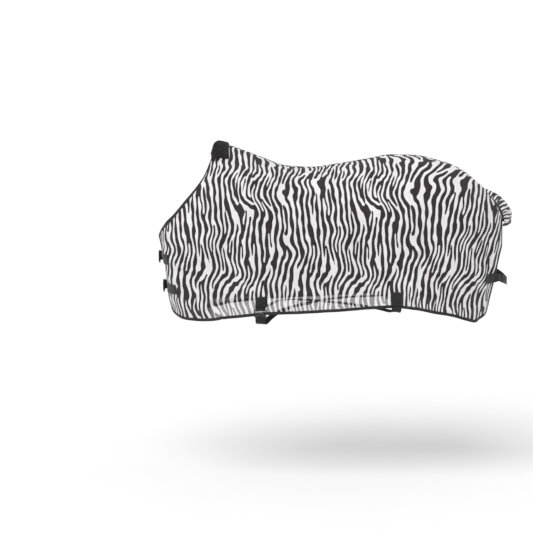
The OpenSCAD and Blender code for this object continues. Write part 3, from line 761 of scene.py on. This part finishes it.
trims = {NEAR: [], OFF: []}
for side in (NEAR, OFF):
    name = SIDE_NAMES[side]
    first = FIRST[side]
    hem_u = even_u(first, 420)
    trims[side] += binding(side, f"{name}_hem_binding", hem_u, 1.0, 0, -1, False)
    neck_u = np.linspace(first, U_WITHERS - 0.3, 150)
    trims[side] += binding(side, f"{name}_neck_binding", neck_u, 0.0, 0, 1, True)
    tail_u = np.linspace(U_TAIL + 0.1, LAST, 70)
    trims[side] += binding(side, f"{name}_tail_edge", tail_u, 0.0, 0, 1, True, 1.9)
    down = even_v(110)
    trims[side] += binding(side, f"{name}_front_binding", first, down[2:-2], 1, 0, False)
    trims[side] += binding(side, f"{name}_rear_binding", LAST, down[2:-2], -1, 0, True)


# ---- spine seam ----

def spine_point(u, y, h):
    """A point over the spine, in metres; y and h in millimetres."""
    u, y, h = spread(u, y, h)
    c, a, b = along(LINES, u), along(LINES, u - 0.03), along(LINES, u + 0.03)
    n = unit(np.stack([a[..., 2] - b[..., 2], 0 * u, b[..., 0] - a[..., 0]], -1))
    p = np.stack([c[..., 0], y, c[..., 2] + c[..., 10] * crest(np.abs(y))], -1)
    return (p + h[..., None] * n) * MM


def spine_seam():
    us = np.linspace(U_WITHERS, U_TAIL, 420)
    half = np.array([-9.4, -9.2, -8.0, -5.2, -3.0, -1.2, 0, 1.2, 3.0, 5.2, 8.0, 9.2, 9.4])
    top = np.array([0.5, 1.1, 1.25, 0.95, 1.6, 1.9, 1.35, 1.9, 1.6, 0.95, 1.25, 1.1, 0.5])
    section = np.vstack([np.stack([half, top], 1), np.stack([half[::-1], -top[::-1]], 1)])
    run = length_along(spine_point(us, 0, 0))
    ripple = 0.18 * np.sin(run / STITCH * np.pi)
    rings = np.stack([spine_point(us, y, h + np.sign(h) * ripple) for y, h in section], 1)
    x = np.broadcast_to(run[:, None], rings.shape[:2])
    y = np.broadcast_to(section[:, 0] * MM, rings.shape[:2])
    uv = np.stack([x, y], -1)
    rows = [stitches(spine_point(us, y, 1.35), spine_point(us, y, 3.0) - spine_point(us, y, 1.0))
            for y in (-5.2, 5.2)]
    piece = add_piece("spine_seam_cloth", rings, loft_faces(*rings.shape[:2], flip=True), MESH, "sheet",
                      ["spine_seam"], uv,
                      values={"zebra": zebra(x + 0.45, np.abs(y) * 0.6 + 0.1) + 0.5, "painted_backlight_openness": 0 * x})
    add_thread("spine_seam", rows, "sheet")
    return piece


seam = spine_seam()


# ---- wedge of cloth over the dock ----

def wedge_point(s, t, h=0.0):
    s, t, h = spread(s, t, h)

    def raw(s, t):
        c = along(WEDGE, s)
        w = 1 - t * t
        return np.stack([c[..., 0] + (c[..., 3] - c[..., 0]) * w, (c[..., 1] - WEDGE_INSET) * t,
                         c[..., 2] + (c[..., 4] - c[..., 2]) * w], -1)

    a, b = raw(np.maximum(0, s - 0.03), t), raw(np.minimum(5, s + 0.03), t)
    p, q = raw(s, t - 0.02), raw(s, t + 0.02)
    wave = smooth(2.4, 5, s) * (2.2 * np.sin(7.0 * t + 0.8) + 1.0 * np.sin(15 * t))
    return (raw(s, t) + (h + wave)[..., None] * unit(np.cross(b - a, q - p))) * MM


def tail_cover():
    s, t = np.meshgrid(np.linspace(0.3, 4.9, 70), np.linspace(-1, 1, 90), indexing="ij")
    points = wedge_point(s, t)
    run = np.interp(s, np.arange(6), length_along(WEDGE[:, 3:5])) * MM
    across = points[..., 1]
    print_x = 1.3 * run + 0.05 + 0.25 * np.abs(across)
    return add_piece("tail_cover_cloth", points, grid_faces(*s.shape, flip=True), MESH, None,
                     ["tail_gusset", "tail_flap"],
                     uv=np.stack([run, across], -1),
                     values={"zebra": zebra(print_x, across * 0.9 + 0.2), "painted_backlight_openness": 0.1 + 0 * s})


cover = tail_cover()
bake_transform(cover)


def flap_binding():
    t = np.linspace(-1, 1, 120)
    run = length_along(wedge_point(5.0, t))
    per_s = np.linalg.norm(wedge_point(5.0, t) - wedge_point(4.6, t), axis=1) / 0.4 / MM
    rings = []
    for e, h in TAPE:
        p = wedge_point(5.0 - max(e, 0) / per_s, t, h)
        if e < 0:
            q = wedge_point(5.0 - 2 / per_s, t, h)
            p = p + unit(p - q) * (-e) * MM
        rings.append(p)
    loft("tail_flap_binding_tape", np.stack(rings, 1), BINDING, "tail_flap",
         ["tail_flap_binding"], strip_uv(TAPE[:, 0] * MM, run))
    s = 5.0 - 11.4 / per_s
    rows = [stitches(wedge_point(s, t, k * 1.8), k * (wedge_point(s, t, 3) - wedge_point(s, t, 0)))
            for k in (1, -1)]
    add_thread("tail_flap_binding", rows, "tail_flap")


flap_binding()


# ---- patches ----

def patch_slab(side, u0, u1, v0, v1, n=26):
    """A closed slab with a soft rim on the cloth between two stations and two heights v."""
    h0 = PATCH_H - 0.3
    s, r = np.meshgrid(np.linspace(0, 1, n), np.linspace(0, 1, n), indexing="ij")
    rim = np.minimum(np.minimum(s, 1 - s) * (n - 1), np.minimum(r, 1 - r) * (n - 1))
    crown = h0 + WEB_T * (0.55 + 0.45 * np.clip(rim, 0, 1))
    u, v = u0 + (u1 - u0) * s, across_patch(u0 + (u1 - u0) * s, v0, v1, r)
    top, low = surface(side, u, v, crown), surface(side, u, v, np.full_like(u, h0))
    middle = u[n // 2, n // 2], v[n // 2, n // 2]
    uv = np.stack([(u - u0) * per_u(*middle), (v - v[n // 2, :1]) * per_v(*middle)], -1) * MM
    return (np.vstack([top.reshape(-1, 3), low.reshape(-1, 3)]), slab_faces(n, n, side == OFF),
            np.vstack([uv.reshape(-1, 2)] * 2))


def across_patch(u, v0, v1, r):
    """v across a patch, r from 0 to 1. Without v1, v0 is the height of a level patch."""
    if v1 is not None:
        return v0 + (v1 - v0) * r
    middle = level_v(u, v0)
    return middle + (np.asarray(r) - 0.5) * WEB_W / per_v(u, middle)


def box_stitch(side, u0, u1, v0, v1, height, r0=0.0, r1=1.0):
    """A stitched box with a cross in it, as webbing is sewn down."""
    def line(a, b):
        k = np.linspace(0, 1, 24)
        u = a[0] + (b[0] - a[0]) * k
        v = across_patch(u, v0, v1, a[1] + (b[1] - a[1]) * k)
        p, q = surface(side, u, v, height), surface(side, u, v, height + 2.0)
        return stitches(p, q - p, pitch=3.4, length=2.6, width=0.8)
    corners = [(u0, r0), (u1, r0), (u1, r1), (u0, r1)]
    parts = [line(corners[i], corners[(i + 1) % 4]) for i in range(4)]
    return parts + [line(corners[0], corners[2]), line(corners[1], corners[3])]


def patch(side, name, u0, u1, v0, v1, along_u=False):
    points, faces, uv = patch_slab(side, u0, u1, v0, v1)
    if along_u:
        uv = uv[:, ::-1]
    piece = add_piece(f"{name}_webbing", points, faces, WEBBING, "sheet", [name], uv, sharp=50)
    mu = 5.0 / float(per_u((u0 + u1) / 2, across_patch((u0 + u1) / 2, v0, v1, 0.5)))
    rows = box_stitch(side, u0 + mu, u1 - mu, v0, v1, PATCH_H + WEB_T - 0.35, 0.1, 0.9)
    return [piece, add_thread(name, rows, "sheet")]


def up_cloth(side, u, v):
    """Direction up the cloth, along which the width of a strap lies."""
    v = np.asarray(v, float)
    return unit(surface(side, u, v - 0.01) - surface(side, u, v + 0.01))


def patch_about(side, name, x, z, u, v, w, l):
    u, v = find_uv(x, z, u, v)
    du, dv = w / 2 / float(per_u(u, v)), l / 2 / float(per_v(u, v))
    return patch(side, name, u - du, u + du, v - dv, v + dv)


def level_v(u, z):
    """v at a height, at each station."""
    v = np.full(np.shape(u), 0.6)
    for _ in range(8):
        a, b = side_point(u, v)[..., 2], side_point(u, v + 0.01)[..., 2]
        v = v + (z - a) * 0.01 / (b - a)
    return v


def chest_patch(side, name, z, l, u0):
    u1 = u0 + l / float(per_u(3.0, level_v(3.0, z)))
    return patch(side, name, u0, u1, z, None, along_u=True)


for side in (NEAR, OFF):
    name = SIDE_NAMES[side]
    lengths = ((125, 146), (70, 70))[side == OFF]
    start = 2.05 if side == NEAR else 2.4
    trims[side] += chest_patch(side, f"{name}_upper_chest_patch", CHEST_Z[0], lengths[0], start)
    trims[side] += chest_patch(side, f"{name}_lower_chest_patch", CHEST_Z[1], lengths[1], start)
    trims[side] += patch_about(side, f"{name}_front_patch", 217, -744, 12, 0.85, WEB_W + 2, 57)
    trims[side] += patch_about(side, f"{name}_rear_patch", 877, -722, 17, 0.85, WEB_W + 4, 66)


def tail_patch(side):
    name = f"{SIDE_NAMES[side]}_tail_patch"
    u0, v = find_uv(1314, -633, 22.6, 0.72)
    u1 = LAST - 4 / float(per_u(float(LAST), v))
    us = np.linspace(u0, u1, 24)
    on_cloth = surface(side, us, v, PATCH_H + WEB_T / 2)
    tab = TAIL_TAB * [1, side, 1] * MM
    ups = np.vstack([up_cloth(side, us, v)[::6], np.tile([0, 0, 1.0], (3, 1))])
    centres, widths, across = evenly(
        catmull(np.vstack([on_cloth[::6], tab]), 8), 0.004,
        catmull(np.array([[w] for w in [WEB_W] * 4 + [TAIL_STRAP_W] * 3], float), 8), catmull(ups, 8))
    piece = ribbon(f"{name}_webbing", centres, across, widths[:, 0], WEB_T, "sheet", [name])
    mv = (WEB_W / 2 - 5) / float(per_v((u0 + u1) / 2, v))
    rows = box_stitch(side, u0 + 0.08, u1 - 0.12, v - mv, v + mv, PATCH_H + WEB_T)
    return [piece, add_thread(name, rows, "sheet")]


for side in (NEAR, OFF):
    trims[side] += tail_patch(side)


# ---- straps ----

def surcingle_route(side):
    """Where a belly strap runs; the off one passes under the near one."""
    route = SURCINGLE[:, :3] * [1, side, 1]
    route[:, 2] -= (CROSS_DROP if side == OFF else 0) * np.maximum(0, 1 - np.abs(route[:, 1]) / 200)
    return route


def surcingle(side):
    name = SIDE_NAMES[side]
    route = surcingle_route(side)
    route = np.vstack([route[0] + [0, 0, 16], route])
    angle = np.radians(np.concatenate([[0], SURCINGLE[:, 3]]))
    wide = np.stack([np.cos(angle), side * np.sin(angle), 0 * angle], 1)
    centres, across = evenly(catmull(route, 10) * MM, 0.006, catmull(wide, 10))
    piece = ribbon(f"{name}_surcingle_webbing", centres, across, WEB_W, WEB_T, None,
                   [f"{name}_surcingle"])
    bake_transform(piece)


surcingle(NEAR)
surcingle(OFF)


def chest_strap(i, level):
    u = np.linspace(1.8, 2.42, 6)
    v = level_v(u, CHEST_Z[i])
    lies = surface(OFF, u, v, PATCH_H + 1.6) / MM
    x0, y0 = CHEST_CLIP_X[i] - END_Y, CHEST_CLIP_Y - END_BAR + 3
    p = np.vstack([[x0, y0, CHEST_Z[i]], [x0, y0 + 13, CHEST_Z[i]], lies])
    wide = np.vstack([np.tile([0, 0, 1.0], (2, 1)), up_cloth(OFF, u, v)])
    centres, across = evenly(catmull(p, 6) * MM, 0.003, catmull(wide, 6))
    piece = ribbon(f"{level}_chest_strap_webbing", centres, across,
                   WEB_W - 1.5, WEB_T - 0.3, None, [f"{level}_chest_strap"])
    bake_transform(piece)


chest_strap(0, "upper")
chest_strap(1, "lower")


def tail_strap():
    route = np.vstack([TAIL_STRAP, (TAIL_STRAP * [1, -1, 1])[-2::-1]])
    centres = evenly(catmull(route, 12) * MM, 0.004)
    ribbon("tail_strap_webbing", centres, np.tile([0, 0, 1.0], (len(centres), 1)),
           TAIL_STRAP_W, WEB_T, "tail_strap", ["tail_strap"], ribs=12)


tail_strap()


# ---- clips and sliders ----
# A clip's own frame is the CAD part's: hinge bar along X, hanging down -Z, face to +Y.

def on_belly(side):
    place = np.array([[1, 0, 0, BELLY_CLIP[0]], [0, side, 0, side * BELLY_CLIP[1]],
                      [0, 0, 1, BELLY_CLIP[2]]], float)
    return place, side == NEAR


def on_chest(i):
    place = np.array([[0, -1, 0, CHEST_CLIP_X[i]], [0, 0, -1, CHEST_CLIP_Y],
                      [1, 0, 0, CHEST_Z[i]]], float)
    return place, False


def placed(place, points):
    return (np.asarray(points, float).reshape(-1, 3) @ place[:, :3].T + place[:, 3]) * MM


def moulded(profile, x0, x1, edge=0.5, rings=3):
    """A profile in y and z, given a width along x, with rounded edges at both ends."""
    profile = np.asarray(profile, float)
    before, after = np.roll(profile, 1, 0), np.roll(profile, -1, 0)
    d0, d1 = unit(profile - before), unit(after - profile)
    out = unit(np.stack([d0[:, 1] + d1[:, 1], -d0[:, 0] - d1[:, 0]], 1))
    turn = np.linspace(0, np.pi / 2, rings + 1)
    steps = [(x0 + edge * (1 - math.cos(t)), edge * (1 - math.sin(t))) for t in turn]
    steps += [(x1 - (x - x0), inset) for x, inset in steps[::-1]]
    slices = np.stack([np.concatenate([np.full((len(profile), 1), x), profile - inset * out], 1)
                       for x, inset in steps])
    return slices.reshape(-1, 3), loft_faces(len(steps), len(profile))


def around(cy, cz, r, a0, a1, n):
    a = np.radians(np.linspace(a0, a1, n))
    return np.stack([cy + r * np.cos(a), cz + r * np.sin(a)], 1)


def rod(path, radii):
    """A round or oval bar along a path; radii are across and out of the clip's face."""
    path = np.array(path)
    ahead = unit(np.gradient(path, axis=0))
    face = np.array([0, 1.0, 0])
    across = unit(np.cross(ahead, face))
    a = np.radians(np.arange(0, 360, 18))
    rings = np.stack([p + radii[i][0] * np.cos(a)[:, None] * across[i]
                      + radii[i][1] * np.sin(a)[:, None] * face for i, p in enumerate(path)])
    return rings, loft_faces(*rings.shape[:2], flip=True)


def ring_mesh():
    """The catch ring: two round bars joined by flatter sides, in one moulding."""
    w, r, z1 = CLIP_W / 2 - 3, 3.4, -RING_PITCH
    corners = [(-w, 0), (w, 0), (w, z1), (-w, z1)]
    path = []
    for k, (cx, cz) in enumerate(corners):
        mid = np.array([cx - math.copysign(r, cx), cz + (-r if cz == 0 else r)])
        sweep = np.radians(np.linspace((180, 90, 0, -90)[k], (90, 0, -90, -180)[k], 9))
        path += [(mid[0] + r * math.cos(t), mid[1] + r * math.sin(t)) for t in sweep]
        end = np.array(path[-1])
        go = np.subtract(corners[(k + 1) % 4], (cx, cz))
        span = np.linalg.norm(go) - 2 * r
        go = go / np.linalg.norm(go)
        n = 24 if k in (0, 2) else 8
        path += [tuple(end + go * span * t) for t in np.linspace(0, 1, n + 2)[1:-1]]
    path = np.array(path)
    path = np.stack([path[:, 0], 0 * path[:, 0], path[:, 1]], 1)
    ahead = unit(np.roll(path, -1, 0) - np.roll(path, 1, 0))
    face = np.array([0, 1.0, 0])
    across = np.cross(ahead, face)
    a = np.radians(np.arange(0, 360, 18))
    side = smooth(w - 6, w - 1.5, np.abs(path[:, 0]))[:, None, None]
    wide, deep = BAR_R + (2.9 - BAR_R) * side, BAR_R - 0.1 * side
    rings = (path[:, None] + wide * np.cos(a)[None, :, None] * across[:, None]
             + deep * np.sin(a)[None, :, None] * face)
    return rings.reshape(-1, 3), ring_faces(*rings.shape[:2])


def hook_mesh():
    """The hook over the ring's lower bar, its cross plate, two arms and the strap bar."""
    t, zb = 2.4, -RING_PITCH
    lip = zb - 4.5
    profile = np.vstack([
        around(0, zb, BORE + t, 180, 0, 17), [[BORE + t, zb - 11]], [[BORE + t - 0.5, zb - 11.5]],
        [[BORE + 0.4, zb - 11.5], [BORE, zb - 11]], around(0, zb, BORE, 0, 180, 15),
        [[-BORE, lip + 0.6], [-BORE - 0.7, lip], [-BORE - t + 0.7, lip], [-BORE - t, lip + 0.6]]])
    parts = [moulded(profile, -HOOK_W / 2, HOOK_W / 2, 0.7)]
    z0, z1 = zb - 11, zb - 5.5
    plate = [[BORE, z0 + 0.6], [BORE + 0.6, z0], [BORE + t - 0.7, z0], [BORE + t, z0 + 0.7],
             [BORE + t, z1 - 0.7], [BORE + t - 0.7, z1], [BORE + 0.6, z1], [BORE, z1 - 0.6]][::-1]
    for x0, x1 in ((HOOK_W / 2 - 1, CLIP_W / 2 - 4), (-CLIP_W / 2 + 4, -HOOK_W / 2 + 1)):
        parts.append(moulded(plate, x0, x1, 0.6))
    for k in (-1, 1):
        arm = [[k * (CLIP_W / 2 - 6.5), BORE + t / 2, z] for z in np.linspace(z1 - 1.5, END_BAR, 12)]
        parts.append(rod(arm, [(2.5, 1.3)] * 12))
        rib = [[x, BORE + t - 0.1, zb - 8.2] for x in np.linspace(k * 4, k * 24, 14)]
        parts.append(rod(rib, [(0.75 * math.sin(math.pi * (i + 0.7) / 14.4), 0.55) for i in range(14)]))
    bar = [[x, END_Y, END_BAR] for x in np.linspace(-CLIP_W / 2 + 6, CLIP_W / 2 - 6, 30)]
    parts.append(rod(bar, [(BAR_R, BAR_R)] * 30))
    return join_parts(parts)


def webbing_fold(name, place, body, node, y, z, up, outer, inner):
    """Webbing folded round a bar at y and z, with its two ends stitched together."""
    r = BORE + WEB_T / 2
    arc = around(y, z, r, 0, 180 * up, 15)
    legs = [np.stack([np.full(8, e * r + y), z - up * np.linspace(length, 0.6, 8)], 1)
            for e, length in ((1, outer), (-1, inner))]
    line = np.vstack([legs[0], arc, legs[1][::-1]])
    local = np.stack([0 * line[:, 0], line[:, 0], line[:, 1]], 1)
    centres = evenly(placed(place, local), 0.0011)
    wide = place[:, :3] @ np.array([1.0, 0, 0])
    ribbon(name, centres, np.tile(wide, (len(centres), 1)), WEB_W, WEB_T - 0.2, body, [node])
    face = y + r + WEB_T / 2 - 0.15
    rows = []
    for k in (0.35, 0.8):
        across = np.stack([np.linspace(-WEB_W / 2 + 4, WEB_W / 2 - 4, 30), np.full(30, face),
                           np.full(30, z - up * outer * k)], 1)
        p = placed(place, across)
        lift = placed(place, across + [0, 2.0, 0]) - p
        rows.append(stitches(p, lift, pitch=3.4, length=2.6, width=0.8))
    add_thread(name, rows, body)


def clip(name, place, mirrored):
    for part, (points, faces) in (("ring", ring_mesh()), ("hook", hook_mesh())):
        if mirrored:
            faces = [face[::-1] for face in faces]
        add_piece(f"{name}_{part}_moulding", placed(place, points), faces, PLASTIC, f"{name}_{part}",
                  [f"{name}_{part}"], sharp=38)
    webbing_fold(f"{name}_loop_webbing", place, "sheet", f"{name}_loop", 0, 0, -1, 9, 8)
    webbing_fold(f"{name}_end_webbing", place, f"{name}_hook", f"{name}_end", END_Y, END_BAR,
                 1, END_L, END_L)


clip("upper_chest", *on_chest(0))
clip("lower_chest", *on_chest(1))
clip("near_belly", *on_belly(NEAR))
clip("off_belly", *on_belly(OFF))


def slider(side):
    """A flat sleeve on the surcingle, with a thumb ridge on each broad face."""
    name = SIDE_NAMES[side]
    a, b = surcingle_route(side)[SLIDER_RUN:SLIDER_RUN + 2]
    ahead = unit(b - a)
    wide = unit(np.cross([0, 0, 1.0], ahead))
    up = np.cross(ahead, wide)
    turn = np.radians(np.arange(0, 360, 10))

    def oval(w, h, r):
        return np.stack([np.sign(np.cos(turn)) * (w - r) + r * np.cos(turn),
                         np.sign(np.sin(turn)) * (h - r) + r * np.sin(turn)], 1)

    outer, inner = oval(28, 4.2, 2.4), oval(25, 1.9, 0.9)
    rings = []
    for x, k in ((-6.2, 0), (-6.8, 0.35), (-6.4, 0.75), (-5.6, 1), (-1.5, 1), (-0.8, 1.1), (0, 1.14),
                 (0.8, 1.1), (1.5, 1), (5.6, 1), (6.4, 0.75), (6.8, 0.35), (6.2, 0)):
        ring = inner + (outer - inner) * [min(k, 1), k]
        rings.append((a + b) / 2 + x * ahead + ring[:, :1] * wide + ring[:, 1:] * up)
    rings = np.stack(rings) * MM
    add_piece(f"{name}_slider_moulding", rings, ring_faces(*rings.shape[:2]), PLASTIC,
              f"{name}_slider", [f"{name}_slider"], sharp=38)


slider(NEAR)
slider(OFF)


# ---- fleece at the withers ----

def fleece_point(side, u, v, h):
    """Over the spine, the fleece closes the gap between the two panels."""
    u, v, h = spread(u, v, h)
    v_gap = 0.0098
    on_side = surface(side, u, np.maximum(v, v_gap), h)
    on_top = spine_point(u, side * SEAM_GAP * v / v_gap, h)
    saddle = ((u >= U_WITHERS) & (v < v_gap))[..., None]
    return np.where(saddle, on_top, np.where((u < U_WITHERS)[..., None], surface(side, u, v, h), on_side))


def fleece_pad(side, name, sign, node):
    """Half of a fleece layer. sign is 1 outside the sheet and -1 under it."""
    rng = np.random.default_rng(31 + side + 5 * sign)
    u0 = FLEECE_U[0] if sign > 0 else U_WITHERS
    us = np.concatenate([np.linspace(u0, U_WITHERS, 46)[:-1] if sign > 0 else [],
                         np.linspace(U_WITHERS, FLEECE_U[1], 40)])
    vs = np.linspace(0, 1, 60) ** 0.9 * FLEECE_V
    u, v = np.meshgrid(us, vs, indexing="ij")
    place = fleece_point(side, u, v, 0 * u)
    run_u = np.concatenate([np.zeros((1, len(vs))), np.cumsum(
        np.linalg.norm(np.diff(place, axis=0), axis=-1), 0)]) / MM
    run_v = np.concatenate([np.zeros((len(us), 1)), np.cumsum(
        np.linalg.norm(np.diff(place, axis=1), axis=-1), 1)], 1) / MM
    free_top = np.where(u < U_WITHERS, run_v, 99.0)
    rim = np.minimum(np.minimum(run_u, run_u[-1] - run_u), np.minimum(run_v[:, -1:] - run_v, free_top))
    curls = (np.sin(run_u / 2.3 + 2.2 * np.sin(run_v / 3.7)) * np.sin(run_v / 2.1 + 1.7 * np.sin(run_u / 4.1))
             + 0.6 * rng.normal(size=u.shape))
    full = FLEECE_T - 2.2
    thick = full * np.sqrt(np.clip(1 - (1 - np.clip(rim / full, 0, 1)) ** 2, 0, 1))
    inner = BINDING_T / 2 + (1.0 if sign > 0 else 2.0)
    thick = np.maximum(0.6, thick + 0.8 * curls * np.clip(rim / 4, 0, 1))
    outside = fleece_point(side, u, v, sign * (inner + thick))
    inside = fleece_point(side, u, v, sign * np.full_like(u, inner))
    nu, nv = u.shape
    faces = slab_faces(nu, nv, (side == OFF) != (sign < 0))
    points = np.vstack([outside.reshape(-1, 3), inside.reshape(-1, 3)])
    uv = np.stack([run_u, run_v], -1).reshape(-1, 2) * MM
    pad = add_piece(f"{name}_pad", points, faces, FLEECE, "sheet", [node], np.vstack([uv, uv]))
    # Curled locks standing out of the pile.
    count = 5200 if sign > 0 else 2400
    i = rng.integers(0, nu - 1, count)
    j = rng.integers(0, nv - 1, count)
    fu, fv = rng.uniform(size=(2, count, 1))
    root = (outside[i, j] * (1 - fu) * (1 - fv) + outside[i + 1, j] * fu * (1 - fv)
            + outside[i, j + 1] * (1 - fu) * fv + outside[i + 1, j + 1] * fu * fv)
    lift = unit(outside[i, j] - inside[i, j])
    a = unit(outside[i + 1, j] - outside[i, j])
    b = np.cross(lift, a)
    spin = rng.uniform(0, 6.28, (count, 1))
    lean = np.cos(spin) * a + np.sin(spin) * b
    spill = np.clip(1 - rim[i, j] / 5, 0, 1)[:, None]
    long = rng.uniform(1.8, 4.2, (count, 1)) * MM
    wide = rng.uniform(0.5, 0.9, (count, 1)) * MM
    cross = unit(np.cross(lift, lean))
    mid = root + long * (0.6 * lift + 0.35 * lean + 0.2 * spill * lean)
    tip = root + long * (0.75 * lift + 0.95 * lean)
    foot = root - 0.8 * MM * lift
    verts = np.stack([foot + wide * cross, foot - wide * cross, foot + wide * lean,
                      mid + 0.7 * wide * cross, mid - 0.7 * wide * cross, mid + 0.7 * wide * lift, tip], 1)
    tuft = [[0, 1, 4, 3], [1, 2, 5, 4], [2, 0, 3, 5], [3, 4, 6], [4, 5, 6], [5, 3, 6], [0, 2, 1]]
    faces = [[7 * n + k for k in face] for n in range(count) for face in tuft]
    locks = add_piece(f"{name}_locks", verts, faces, FLEECE, "sheet")
    return [pad, locks]


for side in (NEAR, OFF):
    name = SIDE_NAMES[side]
    fleece_pad(side, f"{name}_fleece", 1, "wither_fleece")
    fleece_pad(side, f"{name}_fleece_lining", -1, "wither_lining")


# ---- camera, light and floor ----

def studio():
    scene = bpy.context.scene
    scene.view_settings.view_transform = "Standard"
    bpy.ops.mesh.primitive_plane_add(size=120, location=(0.5, 20, -1.62))
    floor = bpy.context.object
    floor.name = "floor"
    n = Nodes("floor")
    mottle = n.noise(n.add("ShaderNodeTexCoord", out=3), 3.0, 5.0)
    n.shade(Base_Color=n.mix(mottle, rgb(0.90, 0.90, 0.905), rgb(0.93, 0.93, 0.93)), Roughness=0.9)
    floor.data.materials.append(n.material)

    world = bpy.data.worlds.new("studio")
    scene.world = world
    world.use_nodes = True
    sky = world.node_tree
    background = sky.nodes["Background"]
    background.inputs[0].default_value = (1.0, 1.0, 1.0, 1.0)
    path = sky.nodes.new("ShaderNodeLightPath")
    level = sky.nodes.new("ShaderNodeMapRange")
    level.inputs[3].default_value, level.inputs[4].default_value = 0.66, 1.05
    sky.links.new(path.outputs["Is Camera Ray"], level.inputs[0])
    sky.links.new(level.outputs[0], background.inputs[1])

    sun = bpy.data.lights.new("key", "SUN")
    sun.angle, sun.energy = math.radians(50), 1.8
    lamp = bpy.data.objects.new("key", sun)
    scene.collection.objects.link(lamp)
    lamp.rotation_euler = Vector((0.35, 0.55, -1.0)).to_track_quat("-Z", "Y").to_euler()


def camera():
    eye, aim = Vector((0.392, -9.0, 0.585)), Vector((0.242, 0.0, -0.602))
    data = bpy.data.cameras.new("camera")
    data.lens, data.sensor_width = 122.65, 36.0
    data.clip_end = 200
    cam = bpy.data.objects.new("camera", data)
    bpy.context.scene.collection.objects.link(cam)
    cam.location = eye
    cam.rotation_euler = (aim - eye).to_track_quat("-Z", "Y").to_euler()
    bpy.context.scene.camera = cam


camera()
studio()
